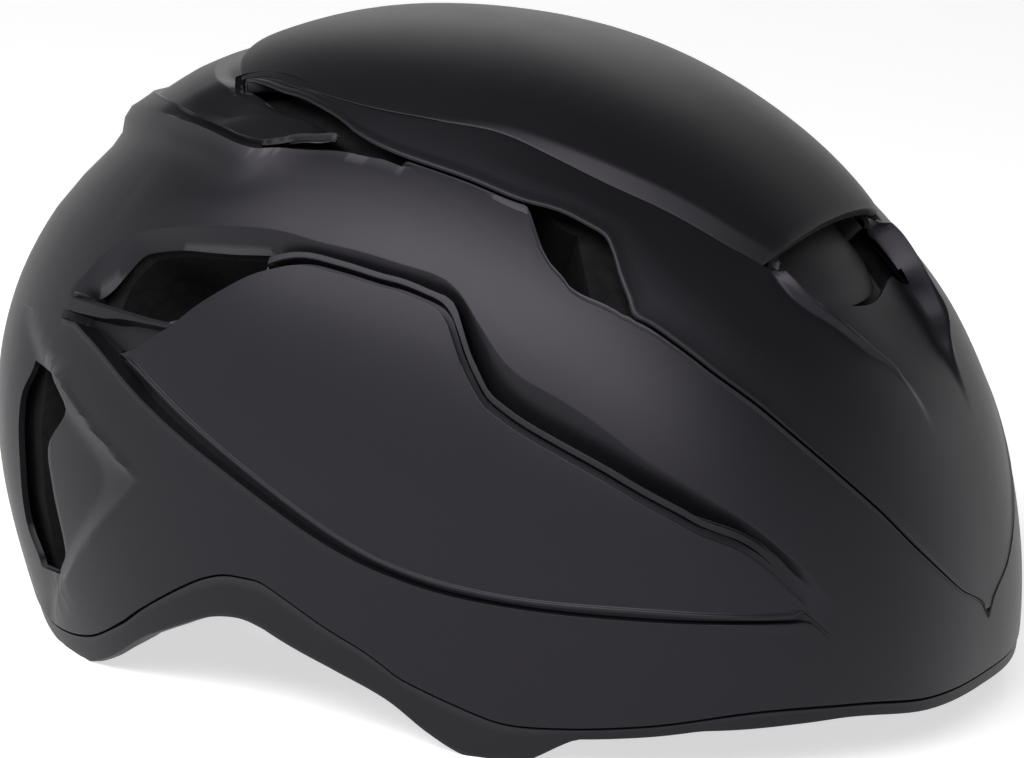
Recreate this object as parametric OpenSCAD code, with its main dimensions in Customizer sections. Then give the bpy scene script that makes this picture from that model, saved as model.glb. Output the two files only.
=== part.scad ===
// Aero road helmet, with a sliding shutter in its front vent and a fit system.
// Front is +X, the wearer's left is +Y, and the helmet rests on z = 0.

/* [Centre profile] */
// Radius of the centre line at the front, from the head centre
front_r = 144.5; // [141:0.5:147]
// Radius 20 degrees above the front
brow_r = 136; // [134:0.5:138]
// Radius at the vent
vent_r = 128; // [126:0.5:130]
// Radius on the front half of the crown
crown_front_r = 124.5; // [122:0.5:127]
// Radius near the top of the crown
crown_top_r = 125; // [123:0.5:128]
// Radius on the rear half of the crown
crown_back_r = 127; // [125:0.5:130]
// Radius at the tail of the top cover
tail_r = 136; // [133:0.5:138]
// Radius on the rear deck
deck_r = 138; // [135:0.5:141]
// Radius at the top of the back
back_high_r = 146; // [142:0.5:148]
// Radius at the back
back_r = 141.5; // [139:0.5:144]
// Radius at the nape
nape_r = 132; // [130:0.5:135]
// Radius below the nape
rear_rim_r = 138.5; // [136:0.5:141]
// Radius that sets how the sides tuck in below
under_r = 168; // [164:1:172]
// Radius below the front
front_rim_r = 161; // [158:0.5:164]
// Radius just below the front edge
front_low_r = 155; // [152:0.5:157]

/* [Body] */
// Half the width of the shell
side_r = 104.5; // [102:0.5:108]
// Squareness of the cross-section, 2 is an ellipse
squareness = 2.38; // [2.25:0.01:2.5]
// Height of the head centre above the surface
head_h = 47; // [46:0.5:48]

/* [Walls] */
// Wall of the outer shells
shell_t = 2.2; // [1.8:0.1:2.6]
// Wall of the top cover
cover_t = 3; // [2.6:0.1:3.4]
// Wall of the side panels
panel_t = 2.2; // [1.8:0.1:2.6]
// Wall of the rim band
rim_t = 2.4; // [2:0.1:2.8]
// Width of the rim band's foot under the foam
rim_foot = 12; // [9:0.5:14]
// Gap between neighbouring shells
seam = 0.4; // [0.3:0.05:0.6]
// Gap between the shells and the foam
foam_gap = 0.6; // [0.4:0.05:0.8]

/* [Side recess] */
// Depth of the recess beside the crown
recess_depth = 7; // [5:0.5:9]
// Width of the sloped wall of the recess, in degrees
recess_slope = 3.2; // [2.4:0.2:3.6]
// Where the black vent in the recess starts
side_vent_front = 103; // [99:1:107]
// Where the black vent in the recess ends
side_vent_rear = 133; // [129:1:134]
// Width of the groove below the side panel, in degrees
groove_w = 1.3; // [0.9:0.1:1.6]

/* [Rear] */
// Front edge of the rear slot
rear_slot_front = 136; // [134:0.5:137]
// Rear edge of the rear slot
rear_slot_rear = 144; // [142:0.5:147]
// How far the deck drops under the tail
deck_drop = 5.5; // [5:0.25:7]
// How far the rear edge of the deck stands up
deck_lift = 4.5; // [3:0.25:6]
// How far the facet leads into the rear slot
facet_depth = 2.5; // [1:0.5:4]

/* [Front vent] */
// Profile angle of the cover's front lip
lip_a = 38.5; // [37.5:0.5:40]
// Profile angle of the vent's front edge
vent_a = 30; // [29:0.5:31]
// Half the width of the vent
vent_w = 27; // [25:0.5:28]
// Depth of the scoop at the vent's front edge
scoop_depth = 6; // [5:0.25:6.5]
// Height of the ridges beside the scoop
ridge_h = 0.8; // [0.4:0.1:1.2]
// Widest gap of the vent between crown and side
cheek_vent_w = 8.5; // [6:0.5:10]

/* [Vent shutter] */
// Half the width of the shutter
shutter_w = 25.5; // [24:0.5:26]
// Thickness of the shutter
shutter_t = 2; // [1.6:0.1:2.4]
// Length of the shutter along its arc, in degrees
shutter_len = 12; // [10:0.5:13]
// Gap between the shutter and what it slides under
shutter_gap = 0.6; // [0.5:0.1:0.8]

/* [Head cavity] */
// Half the length of the cavity
cavity_x = 104; // [101:0.5:106]
// Half the width of the cavity
cavity_y = 81; // [79:0.5:83]
// Height of the cavity above the head centre
cavity_z = 97; // [95:0.5:99]

/* [Soft parts] */
// Thickness of the pads
pad_t = 7; // [5:0.5:8]
// Width of the straps
strap_w = 16; // [14:1:18]
// Thickness of the straps
strap_t = 1.4; // [1:0.1:1.6]

/* [Fit system] */
// Thickness of the fit bands
band_t = 1.6; // [1.2:0.1:2]
// Height of the fit bands
band_h = 9; // [7:0.5:11]
// Radius of the pin that a fit band swings on
band_pin_r = 2.5; // [2:0.1:3]
// Running clearance round pins and shafts
run_gap = 0.05; // [0.03:0.01:0.08]
// Radius of the dial
dial_r = 12; // [11:0.5:13]
// Depth of the dial
dial_t = 6; // [5:0.5:7]
// Radius of the dial's shaft
shaft_r = 2.2; // [1.8:0.1:2.6]
// Radius of the drum that winds the lace
drum_r = 4; // [3.5:0.1:4.5]

/* [Hidden] */
$fn = 48;

// Profile radii every 20 degrees, from the front over the top to below the front
profile_step = 20;
profile = [
    front_r, brow_r, vent_r, crown_front_r, crown_top_r, crown_back_r, tail_r, deck_r,
    back_high_r, back_r, nape_r, rear_rim_r, (rear_rim_r + under_r) / 2, under_r, under_r,
    under_r, front_rim_r, front_low_r
];
bed_t = cover_t + 0.4;
panel_bed = panel_t + 0.35;
panel_proud = 0.3;

// Lines on the side: azimuth from the front, then elevation, both in degrees
recess_line = [
    [0, -7], [24, -3], [28, 0], [33, 5], [39, 11], [46, 17], [53, 22], [60, 25.5], [65, 29],
    [68, 33], [71, 36], [76, 38.5], [83, 40], [92, 41], [102, 41], [111, 40], [119, 38],
    [128, 34.5], [133, 30.5], [136, 28], [139, 26.6], [150, 23], [180, 21]
];
panel_top_line = [
    [0, -8], [24, -4.5], [29, -1], [35, 4], [40, 7], [46, 11], [53, 15], [59, 19], [65, 22.5],
    [68, 26], [70, 30], [73, 34], [79, 36.5], [86, 38], [93, 38.5], [100, 38], [105, 36],
    [110, 33], [114, 29], [119, 25], [124, 21.2], [128, 22.4], [133, 23.7], [139, 24],
    [150, 20.7], [180, 18.7]
];
panel_low_line = [
    [0, -9], [24, -5.5], [30, -3], [40, -3], [50, -2.7], [60, -2], [69, -1], [78, 0.5],
    [88, 4.5], [99, 9], [109, 13], [117, 17], [124, 20], [128, 21.5], [133, 22.9],
    [139, 23.2], [150, 19.9], [180, 17.9]
];
strut_line = [
    [0, -30], [96, -30], [110, 20], [118, 25.5], [133, 25.3], [139, 25], [150, 21.6], [180, 19.6]
];
shell_low_line = [
    [0, -12], [12, -12], [22, -11.3], [33, -12], [45, -15], [54, -17], [61, -18], [66, -17],
    [73, -15], [79, -13], [86, -10], [92, -8], [98, -6.3], [103, -6], [108, -7.5], [112, -10],
    [118, -13.5], [124, -17], [132, -19.5], [143, -19], [155, -17], [168, -14.5], [180, -13.5]
];
rim_line = [
    [0, -13.2], [9, -13], [21, -12.6], [28, -13.2], [35, -14.2], [42, -15.2], [49, -16.5],
    [53, -18.5], [57, -21.4], [60, -23.4], [62, -23.8], [67, -23.4], [72, -21.6], [78, -18.5],
    [86, -16], [94, -14], [99, -12.5], [105, -12], [109, -13], [113, -15], [120, -17.5],
    [127, -20.5], [135, -22.4], [143, -21.4], [155, -18.8], [168, -16], [180, -15]
];
// Share of the way from the crown edge to the recess at which the deck's crest lies
crest_share = [
    [0, 0.08], [90, 0.08], [99, 0.2], [116, 0.36], [123, 0.32], [135, 0.28], [157, 0.47],
    [180, 0.57]
];
// Half widths over the top: profile angle from the front, then the distance from the middle
crown_line = [
    [-6.5, 0.8], [2, 28], [8, 43], [14, 53], [21, 61], [27, 67], [35, 72], [43, 75], [48, 72],
    [53, 69.5], [60, 70], [66, 71], [73, 73], [81, 73], [91, 72], [98, 69], [106, 64], [115, 55]
];
cover_line = [
    [-6.5, 2], [5, 12], [15, 19], [24, 24], [29, 29], [33, 33], [38, 36], [45, 42], [52, 47],
    [60, 52], [68, 55], [77, 57], [85, 60], [95, 60.5], [105, 57], [118, 50]
];
crown_front_a = crown_line[0][0];
crown_rear_a = 115;
tail_a = 118;
cheek_vent_line = [[43, 0], [48, 0.6], [54, 1], [60, 0.75], [66, 0]];

// Azimuths of the mesh lines on one side, closer where the shape is finer
half_turn = [
    for (a = [0:3:18]) a, for (a = [22:4:46]) a, for (a = [49:4:61]) a, for (a = [65:4:97]) a,
    side_vent_front, for (a = [107:4:131]) a, side_vent_rear, rear_slot_front, 140,
    rear_slot_rear, 150, 158, 166, 173, 180
];
full_turn = whole_turn(half_turn);
liner_side = [26, 34, 42, 49, 55, 61, 65, 69, 73, 77, 85, 93];
liner_front = [
    for (i = [len(liner_side) - 1:-1:0]) -liner_side[i], for (a = [-18:6:18]) a, each liner_side
];
liner_rear = [
    93, side_vent_front, for (a = [107:4:127]) a, side_vent_rear, rear_slot_front, rear_slot_rear,
    150, 160, 170, 180
];

// Helpers for smooth lines
function ease(a, b, x) = let (t = max(0, min(1, (x - a) / (b - a)))) t * t * (3 - 2 * t);
function mix(a, b, t) = a + (b - a) * t;
function span_at(p, x, i = 0) = i >= len(p) - 2 || x < p[i + 1][0] ? i : span_at(p, x, i + 1);
function tangent(p, i) =
    i == 0 || i == len(p) - 1 ? 0 : (p[i + 1][1] - p[i - 1][1]) / (p[i + 1][0] - p[i - 1][0]);
function curve(p, x) =
    x <= p[0][0] ? p[0][1] :
    x >= p[len(p) - 1][0] ? p[len(p) - 1][1] :
    let (i = span_at(p, x), h = p[i + 1][0] - p[i][0], t = (x - p[i][0]) / h)
    (2 * t ^ 3 - 3 * t ^ 2 + 1) * p[i][1] + (t ^ 3 - 2 * t ^ 2 + t) * h * tangent(p, i)
    + (3 * t ^ 2 - 2 * t ^ 3) * p[i + 1][1] + (t ^ 3 - t ^ 2) * h * tangent(p, i + 1);
function side_az(a) = a > 180 ? 360 - a : abs(a);
function whole_turn(half) =
    [for (a = half) a, for (i = [len(half) - 2:-1:1]) 360 - half[i]];

// The outer surface: a profile in the middle plane, drawn in towards the sides
function radius_in(i) = profile[(i + len(profile)) % len(profile)];
function profile_r(a) =
    let (u = ((a % 360) + 360) % 360 / profile_step, i = floor(u), f = u - i)
    ((1 - f) ^ 3 * radius_in(i - 1) + (3 * f ^ 3 - 6 * f ^ 2 + 4) * radius_in(i)
    + (3 * f + 3 * f ^ 2 - 3 * f ^ 3 + 1) * radius_in(i + 1) + f ^ 3 * radius_in(i + 2)) / 6;
function on_shell(az, el, off) =
    let (
        d = [cos(el) * cos(az), cos(el) * sin(az), sin(el)],
        c = norm([d.x, d.z]) / (profile_r(atan2(d.z, d.x)) + off),
        s = abs(d.y) / (side_r + off)
    )
    d * (c ^ squareness + s ^ squareness) ^ (-1 / squareness);
function on_top(a, y, off) =
    let (k = (1 - (abs(y) / (side_r + off)) ^ squareness) ^ (1 / squareness))
    [(profile_r(a) + off) * k * cos(a), y, (profile_r(a) + off) * k * sin(a)];
function on_cavity(az, el, off) =
    let (d = [cos(el) * cos(az), cos(el) * sin(az), sin(el)])
    d / norm([d.x / (cavity_x - off), d.y / (cavity_y - off), d.z / (cavity_z - off)]);

// The crown edge, found on each azimuth, with room for the cheek vent when room is 1
function crown_w(a) = curve(crown_line, a);
function inside_crown(az, el, room) =
    let (p = on_shell(az, el, 0), a = atan2(p.z, p.x))
    a < crown_rear_a + room * seam / 2 && a > crown_front_a - room * seam / 2
    && abs(p.y) < crown_w(a) + room * (seam + cheek_vent_w * curve(cheek_vent_line, a));
function crown_el(az, room, low = -16, high = 84, n = 18) =
    n == 0 ? high :
    let (mid = (low + high) / 2)
    inside_crown(az, mid, room) ? crown_el(az, room, low, mid, n - 1) :
    crown_el(az, room, mid, high, n - 1);

// Rows of the lower shell at one azimuth, from the crown edge down: elevation and depth
function recess_on(az) = ease(26, 48, az) * (1 - ease(130, 139, az));
function shell_rows(a) =
    let (
        az = side_az(a),
        top = crown_el(az, 1),
        recess = curve(recess_line, az),
        crest = mix(top, recess, curve(crest_share, az)),
        panel_top = curve(panel_top_line, az),
        panel_low = curve(panel_low_line, az),
        gap = recess - panel_top,
        vent_top = recess - min(recess_slope, 0.45 * gap),
        vent_low = max(panel_top + min(0.8, 0.25 * gap), curve(strut_line, az)),
        groove = panel_low - mix(groove_w, 0.8, ease(124, 139, az)),
        low = curve(shell_low_line, az),
        far = ease(110, 134, az),
        drop = deck_drop * ease(118, 140, az),
        lift = deck_lift * ease(132, 158, az),
        deep = recess_depth * recess_on(az),
        bed = panel_bed * ease(25, 30, az) * (1 - ease(131, 139, az)),
        lead = az > 140 ? 0 : facet_depth * ease(118, rear_slot_front, az)
    )
    [
        [top, drop], [mix(top, crest, 0.25), 0.8 * drop],
        [mix(top, crest, 0.75), 0.1 * drop - 0.85 * lift], [crest, -lift],
        [mix(crest, recess, 0.22), 0], [mix(crest, recess, 0.6), 0], [recess, 0],
        [vent_top, deep], [vent_low, deep],
        [panel_top, bed], [(panel_top + panel_low) / 2, bed], [panel_low, bed],
        [groove + 0.3, bed], [groove, 0],
        [mix(groove, low, mix(0.33, 0.17, far)), lead], [mix(groove, low, mix(0.5, 0.45, far)), lead],
        [mix(groove, low, mix(0.67, 0.74, far)), lead], [low, 0]
    ];
deck_row = 1;
vent_row = 7;
slot_row = 14;
function shell_open(az, next_az, j) =
    let (m = side_az((az + next_az) / 2))
    (j == vent_row && m > side_vent_front && m < side_vent_rear)
    || ((j == slot_row || j == slot_row + 1) && m > rear_slot_front && m < rear_slot_rear)
    || (j == deck_row && m > 103 && m < 127);

// A closed wall between two grids of points. Cells for which gaps says true stay open.
module wall_mesh(outer, inner, ring = false, gaps = function(i, j) false) {
    n = len(outer);
    m = len(outer[0]);
    last = ring ? n - 1 : n - 2;
    kept = function(i, j)
        j >= 0 && j < m - 1 && (ring || (i >= 0 && i <= last)) && !gaps((i + n) % n, j);
    at = function(i, j, k) ((i + n) % n) * m + j + k * n * m;
    polyhedron(
        points = concat([for (c = outer) each c], [for (c = inner) each c]),
        faces = [
            for (i = [0:last], j = [0:m - 2]) if (kept(i, j))
                let (
                    a = at(i, j, 0), b = at(i + 1, j, 0), c = at(i + 1, j + 1, 0), d = at(i, j + 1, 0),
                    e = at(i, j, 1), f = at(i + 1, j, 1), g = at(i + 1, j + 1, 1), h = at(i, j + 1, 1)
                )
                each [
                    [a, b, c], [a, c, d], [e, g, f], [e, h, g],
                    if (!kept(i, j - 1)) each [[b, a, e], [b, e, f]],
                    if (!kept(i + 1, j)) each [[c, b, f], [c, f, g]],
                    if (!kept(i, j + 1)) each [[d, c, g], [d, g, h]],
                    if (!kept(i - 1, j)) each [[a, d, h], [a, h, e]]
                ]
        ]
    );
}

// A solid swept through rings of points, with its ends closed or joined in a loop
module swept(rings, loop = false) {
    n = len(rings);
    m = len(rings[0]);
    polyhedron(
        points = [for (r = rings) each r],
        faces = [
            for (i = [0:loop ? n - 1 : n - 2], j = [0:m - 1])
                let (
                    i2 = (i + 1) % n, j2 = (j + 1) % m,
                    a = i * m + j, b = i2 * m + j, c = i2 * m + j2, d = i * m + j2
                )
                each [[a, b, c], [a, c, d]],
            if (!loop) [for (j = [0:m - 1]) j],
            if (!loop) [for (j = [m - 1:-1:0]) (n - 1) * m + j]
        ]
    );
}

// Places. The head centre lies where the middle of the length comes to x = 0.
function reach(angles) = max([for (a = angles) abs(profile_r(a) * cos(a))]);
head_shift = (reach([170:1:200]) - reach([-12:1:4])) / 2;
module at_head() {
    translate([head_shift, 0, head_h]) children();
}
module flipped(is_right) {
    mirror([0, is_right ? 1 : 0, 0]) children();
}
// Puts its child on the cavity wall, with z pointing at the head and x along the rim
module on_wall(az, el, off) {
    p = on_cavity(az, el, off);
    n = [p.x / cavity_x ^ 2, p.y / cavity_y ^ 2, p.z / cavity_z ^ 2];
    at_head() translate(p)
        rotate([0, 0, atan2(n.y, n.x)]) rotate([0, -atan2(n.z, norm([n.x, n.y])), 0])
            rotate([90, 0, -90]) children();
}

// Outer shells
module lower_shell() {
    rows = [for (a = full_turn) shell_rows(a)];
    face = function(wall) [
        for (i = [0:len(rows) - 1])
            [for (r = rows[i]) on_shell(full_turn[i], r[0], -r[1] - wall)]
    ];
    next = function(i) i == len(full_turn) - 1 ? 360 : full_turn[i + 1];
    color("#26262b") at_head()
        wall_mesh(face(0), face(shell_t), true, function(i, j) shell_open(full_turn[i], next(i), j));
}

// Distances from the middle of the mesh lines over the crown at one profile angle
crown_corner = 1.8;
function crown_ys(a) =
    let (
        w = crown_w(a) - crown_corner * ease(96, crown_rear_a, a),
        c = min(curve(cover_line, a), max(w - 4, 0.6 * w)),
        bed_w = max(c - 0.4, 0.8 * c),
        trough_w = max(min(vent_w, bed_w - 1.5), 0.6 * bed_w)
    )
    [
        w, max(w - 2.5, (3 * w + c) / 4), (w + c) / 2, c + min(seam, 0.1 * w), bed_w, trough_w,
        trough_w / 2, 0
    ];
// How far the crown lies below the outer surface on each of those lines
function crown_depths(a) =
    let (
        front = ease(lip_a - 3, lip_a, a),
        scoop = scoop_depth * ease(15, vent_a, a) * (1 - front),
        beside = 2.2 * ease(22, 34, a) * (1 - ease(58, 84, a)),
        tail = deck_drop * ease(100, crown_rear_a, a),
        edge = 0.8 * deck_drop * ease(105, crown_rear_a, a),
        ridge = -ridge_h * ease(18, 24, a) * (1 - front),
        bed = bed_t * front + scoop + max(0, tail - bed_t)
    )
    [
        edge, edge, beside * 0.6 + (edge + tail) / 2, mix(ridge, beside, front) + tail,
        mix(ridge, max(bed_t, tail), front), bed, bed, bed
    ];
crown_angles = [
    for (a = [crown_front_a + 0.5, -3.5, 0, 3.5, 7, 14, 20, 25]) a, vent_a, 34, lip_a,
    for (a = [44:5:99]) a, for (a = [103:3:112]) a, crown_rear_a
];
function crown_points(a, off) =
    let (y = crown_ys(a) * (1 + off / crown_front_r), d = crown_depths(a), n = len(y) - 1)
    [
        for (i = [0:n]) on_top(a, -y[i], off - d[i]),
        for (i = [n - 1:-1:0]) on_top(a, y[i], off - d[i])
    ];
vent_cells_from = 5;
vent_rear_a = 59;
module crown_shell() {
    outer = [for (a = crown_angles) crown_points(a, 0)];
    inner = [for (a = crown_angles) crown_points(a, -shell_t)];
    open = function(i, j)
        crown_angles[i] >= vent_a && crown_angles[i] < vent_rear_a
        && j >= vent_cells_from && j < 14 - vent_cells_from;
    color("#232328") at_head() wall_mesh(outer, inner, false, open);
}

// Fixed cover over the middle of the crown
cover_angles = [lip_a, lip_a + 1.5, for (a = [44:5:114]) a, 116.5, tail_a];
cover_shares = [-1, -0.95, -0.75, -0.5, -0.25, 0, 0.25, 0.5, 0.75, 0.95, 1];
function cover_points(a, off, edge, tuck = 0) =
    let (w = curve(cover_line, a) - (a < lip_a + 1 ? 3 : 0) - (a > tail_a - 1 ? 3 : 0) - tuck)
    [for (s = cover_shares) on_top(a, s * w, off - (abs(s) > 0.97 ? edge : 0))];
module top_cover() {
    outer = [for (a = cover_angles) cover_points(a, a < lip_a + 1 || a > tail_a - 1 ? -0.8 : 0, 0.9)];
    inner = [for (a = cover_angles) cover_points(a, -cover_t, 0, 1.4)];
    color("#202024") at_head() wall_mesh(outer, inner);
}

// Long panel that lies in the side recess
module side_panel(is_right) {
    panel_az = [for (a = [30:4:118]) a, 121, 123];
    gap = 0.2;
    ring = function(off) [
        for (a = panel_az)
            let (top = curve(panel_top_line, a) - gap, low = curve(panel_low_line, a) + gap)
            [for (t = [0, 0.08, 0.36, 0.64, 0.92, 1])
                on_shell(a, mix(top, low, t), off - (off > 0 && (t == 0 || t == 1) ? 0.8 : 0))]
    ];
    color("#2a2a30") at_head() flipped(is_right) wall_mesh(ring(panel_proud), ring(-panel_t));
}
module side_panel_left() {
    side_panel(false);
}
module side_panel_right() {
    side_panel(true);
}

// Band round the rim, with a foot under the foam and flats that the helmet rests on
function on_floor(p) = [p.x, p.y, max(p.z, -head_h)];
function rim_ring(a) =
    let (
        az = side_az(a),
        top = curve(shell_low_line, az) - 0.2,
        low = min(curve(rim_line, az), top - 0.9),
        out = on_shell(a, top, 0),
        edge = on_floor(on_shell(a, low, -0.4)),
        inward = -[cos(a), sin(a), 0],
        foot = edge + inward * rim_foot,
        up = [0, 0, rim_t]
    )
    [out, edge, foot, foot + up, edge + inward * rim_t + up, on_shell(a, top, -rim_t)];
module rim_band() {
    color("#1c1c1f") at_head() swept([for (a = full_turn) rim_ring(a)], true);
}

// Foam liner in a front and two rear parts that meet face to face. Its flat facets toward the
// head are set back so that what lies on it stays clear.
liner_back = 0.6;
top_hole_el = 76;
vent_az = 18;
trough_depth = 8;
crown_clear = 2.2;
function liner_crown_depth(p) =
    let (a = atan2(p.z, p.x))
    bed_t + shell_t + foam_gap + crown_clear
    + trough_depth * (1 - ease(30, 44, abs(p.y))) * ease(12, 22, a) * (1 - ease(112, 120, a));
front_el = crown_el(0, 1);
function liner_crown_el(az, top, t) =
    let (base = mix(front_el, top, ease(vent_az, vent_az + 8, az)) + 1.5)
    max(mix(base, top_hole_el, t), top + 1.5 + 8 * t);
function liner_rows(a) =
    let (
        az = side_az(a),
        rows = shell_rows(a),
        top = rows[0][0],
        back = shell_t + foam_gap,
        lead = facet_depth * ease(118, rear_slot_front, az) * (1 - ease(rear_slot_rear, 158, az))
    )
    [
        for (t = [1:-0.125:0.125])
            let (el = liner_crown_el(az, top, t)) [el, liner_crown_depth(on_shell(a, el, 0))],
        for (j = [0, 3, 5, 6, 7, 8, 9, 10, 11, 12, 14, 15, 16])
            [
                rows[j][0],
                j == 0 ? max(rows[0][1] + back, 3.5 + 4.5 * ease(96, 122, az)) :
                max(rows[j][1], j >= slot_row ? lead : 0) + back
            ],
        [rows[17][0] + 0.6, back + 0.4 * lead],
        [min(curve(rim_line, az) + 2.4, rows[17][0] - 0.2), rim_t + foam_gap + 0.4]
    ];
module liner_part(turn) {
    rows = [for (a = turn) liner_rows(a)];
    n = len(turn);
    outer = [for (i = [0:n - 1]) [for (r = rows[i]) on_shell(turn[i], r[0], -r[1])]];
    inner = [for (i = [0:n - 1]) [for (r = rows[i]) on_cavity(turn[i], r[0], -liner_back)]];
    open = function(i, j)
        let (m = side_az((turn[i] + turn[i + 1]) / 2))
        (j == 12 && m > side_vent_front && m < side_vent_rear)
        || ((j == 18 || j == 19) && m > rear_slot_front && m < rear_slot_rear)
        || (j >= 2 && j <= 5 && m < vent_az)
        || (j >= 6 && j <= 7 && m > 49 && m < 61);
    color("#3a3a3e") at_head() wall_mesh(outer, inner, false, open);
}
module foam_liner_front() {
    liner_part(liner_front);
}
module foam_liner_rear_left() {
    liner_part(liner_rear);
}
module foam_liner_rear_right() {
    liner_part([for (i = [len(liner_rear) - 1:-1:0]) 360 - liner_rear[i]]);
}

// Frame that lines the front vent where it passes through the foam
module vent_duct() {
    wide = vent_az - 1;
    low_el = liner_crown_el(0, front_el, 0.25) + 2.7;
    high_el = liner_crown_el(0, front_el, 0.75) - 1.7;
    inset = 0.9;
    edge = function(k)
        concat(
            [for (t = [0:0.2:0.8]) [-wide + k, mix(low_el + k, high_el - k, t)]],
            [for (t = [0:0.25:0.75]) [mix(-wide + k, wide - k, t), high_el - k]],
            [for (t = [0:0.2:0.8]) [wide - k, mix(high_el - k, low_el + k, t)]],
            [for (t = [0:0.25:0.75]) [mix(wide - k, -wide + k, t), low_el + k]]
        );
    outside = edge(0);
    inside = edge(inset);
    duct_depth = scoop_depth + shell_t + shutter_gap + shutter_t + 2;
    ring = [
        for (i = [0:len(outside) - 1])
            let (o = outside[i], k = inside[i])
            [
                on_shell(k[0], k[1], -duct_depth), on_cavity(k[0], k[1], 0),
                on_cavity(o[0], o[1], 0), on_shell(o[0], o[1], -duct_depth)
            ]
    ];
    color("#6d6d73") at_head() swept(ring, true);
}

// The shutter slides on an arc that follows the crown, so it turns about this axis
function profile_at(a) = profile_r(a) * [cos(a), sin(a)];
function arc_centre(p, q, r) =
    let (d = 2 * (p.x * (q.y - r.y) + q.x * (r.y - p.y) + r.x * (p.y - q.y)))
    [
        (p * p * (q.y - r.y) + q * q * (r.y - p.y) + r * r * (p.y - q.y)) / d,
        (p * p * (r.x - q.x) + q * q * (p.x - r.x) + r * r * (q.x - p.x)) / d
    ];
arc_axis = arc_centre(profile_at(vent_a - 2), profile_at(lip_a + 4), profile_at(vent_rear_a));
shutter_front_a = 36;
function arc_angle(a) = let (v = profile_at(a) - arc_axis) atan2(v.y, v.x);
function on_arc(angle, y, off) =
    let (p = on_top(lip_a, y, off), r = norm([p.x, p.z] - arc_axis))
    [arc_axis.x + r * cos(angle), y, arc_axis.y + r * sin(angle)];
shutter_depth = scoop_depth + shell_t + shutter_gap;
shutter_open = arc_angle(shutter_front_a);
shutter_travel = shutter_open - arc_angle(vent_a + 0.3);
echo(axis_x = arc_axis.x + head_shift, axis_z = arc_axis.y + head_h, travel = shutter_travel);
module vent_shutter() {
    rear = arc_angle(shutter_front_a + shutter_len);
    ys = [for (s = [-1, -0.75, -0.5, -0.25, 0, 0.25, 0.5, 0.75, 1]) s * shutter_w];
    turns = [0, 0.08, 0.12, 0.3, 0.5, 0.75, 1];
    face = function(wall, tab) [
        for (t = turns)
            let (deep = shutter_depth + wall + (t < 0.1 ? tab : 0))
            [for (y = ys) on_arc(mix(shutter_open, rear, t), y, -deep)]
    ];
    color("#77777e") at_head() wall_mesh(face(0, 0), face(shutter_t, 1.6));
}
module shutter_guides() {
    wall = 2.5;
    lip = 2.2;
    shelf_t = 1.2;
    play = 0.3;
    low = shutter_depth + shutter_t + play;
    from = arc_angle(lip_a + 1.5);
    to = arc_angle(vent_rear_a + 1);
    top = bed_t + shell_t + 0.4;
    rings = [
        for (t = [0:0.2:1])
            let (b = mix(from, to, t), y = shutter_w + play)
            [
                on_arc(b, y + wall, -low - shelf_t), on_arc(b, y - lip, -low - shelf_t),
                on_arc(b, y - lip, -low), on_arc(b, y, -low), on_arc(b, y, -top),
                on_arc(b, y + wall, -top)
            ]
    ];
    color("#303035") at_head() for (right = [false, true]) flipped(right) swept(rings);
}

// Pads: crowned towards the head, thin at their edges and drawn in between their corners
pad_back = 1.7;
module cushion(az0, az1, el0, el1, columns = 9, rows = 5) {
    draw = 0.1;
    rim = 1.2;
    face = function(deep) [
        for (i = [0:columns])
            [
                for (j = [0:rows])
                    let (
                        u = 2 * i / columns - 1, v = 1 - 2 * j / rows,
                        az = mix(az0, az1, (1 + u * (1 - draw * (1 - v * v))) / 2),
                        el = mix(el0, el1, (1 + v * (1 - draw * (1 - u * u))) / 2),
                        t = rim + (pad_t - rim) * (1 - u ^ 6) * (1 - v ^ 4)
                    )
                    on_cavity(az, el, pad_back + (deep ? t : 0))
            ]
    ];
    color("#1d1d21") at_head() wall_mesh(face(false), face(true));
}
module brow_pad() {
    cushion(-47, 47, -6.5, 7, 16);
}
module crown_pad_left() {
    cushion(38, 142, 50, 64, 12);
}
module crown_pad_right() {
    flipped(true) crown_pad_left();
}
module side_pad_left() {
    cushion(58, 97, 24, 39);
}
module side_pad_right() {
    flipped(true) side_pad_left();
}
module rear_pad_left() {
    cushion(149, 173, 3, 21);
}
module rear_pad_right() {
    flipped(true) rear_pad_left();
}
hook_places = [[34, 0], [62, 57], [118, 57], [68, 31], [88, 31], [161, 12]];
hook_r = 6;
hook_t = 0.8;
module hook_discs() {
    color("#101012") for (right = [false, true], p = hook_places)
        flipped(right) on_wall(p[0], p[1], 0.5) cylinder(h = hook_t, r = hook_r);
}

// Straps, tucked away along the cavity wall
module strap(path) {
    rings = [
        for (p = path)
            let (half = asin(strap_w / 2 / norm(on_cavity(p[0], p[1], p[2]))))
            [
                on_cavity(p[0], p[1] + half, p[2]), on_cavity(p[0], p[1] - half, p[2]),
                on_cavity(p[0], p[1] - half, p[2] + strap_t), on_cavity(p[0], p[1] + half, p[2] + strap_t)
            ]
    ];
    color("#151518") at_head() swept(rings);
}
divider_az = 99;
divider_el = 11;
divider_w = 24;
strap_low_el = 5.5;
chin_el = 17.5;
chin_off = 3.2;
function divider_side(k) = divider_az + k * (asin(divider_w / 2 / cavity_y) + 0.9);
module strap_anchors() {
    color("#1a1a1c") for (right = [false, true], az = [60, 129])
        flipped(right) on_wall(az, strap_low_el, 0.5) linear_extrude(1) difference() {
            square([16, 20], center = true);
            square([3, strap_w + 0.6], center = true);
        }
}
module front_strap_left() {
    strap([for (t = [0:0.125:1]) [mix(56, divider_side(-1), t), strap_low_el, 2.1]]);
}
module front_strap_right() {
    flipped(true) front_strap_left();
}
module rear_strap_left() {
    strap([for (t = [0:0.125:1]) [mix(divider_side(1), 132, t), strap_low_el, 2.1]]);
}
module rear_strap_right() {
    flipped(true) rear_strap_left();
}
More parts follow.
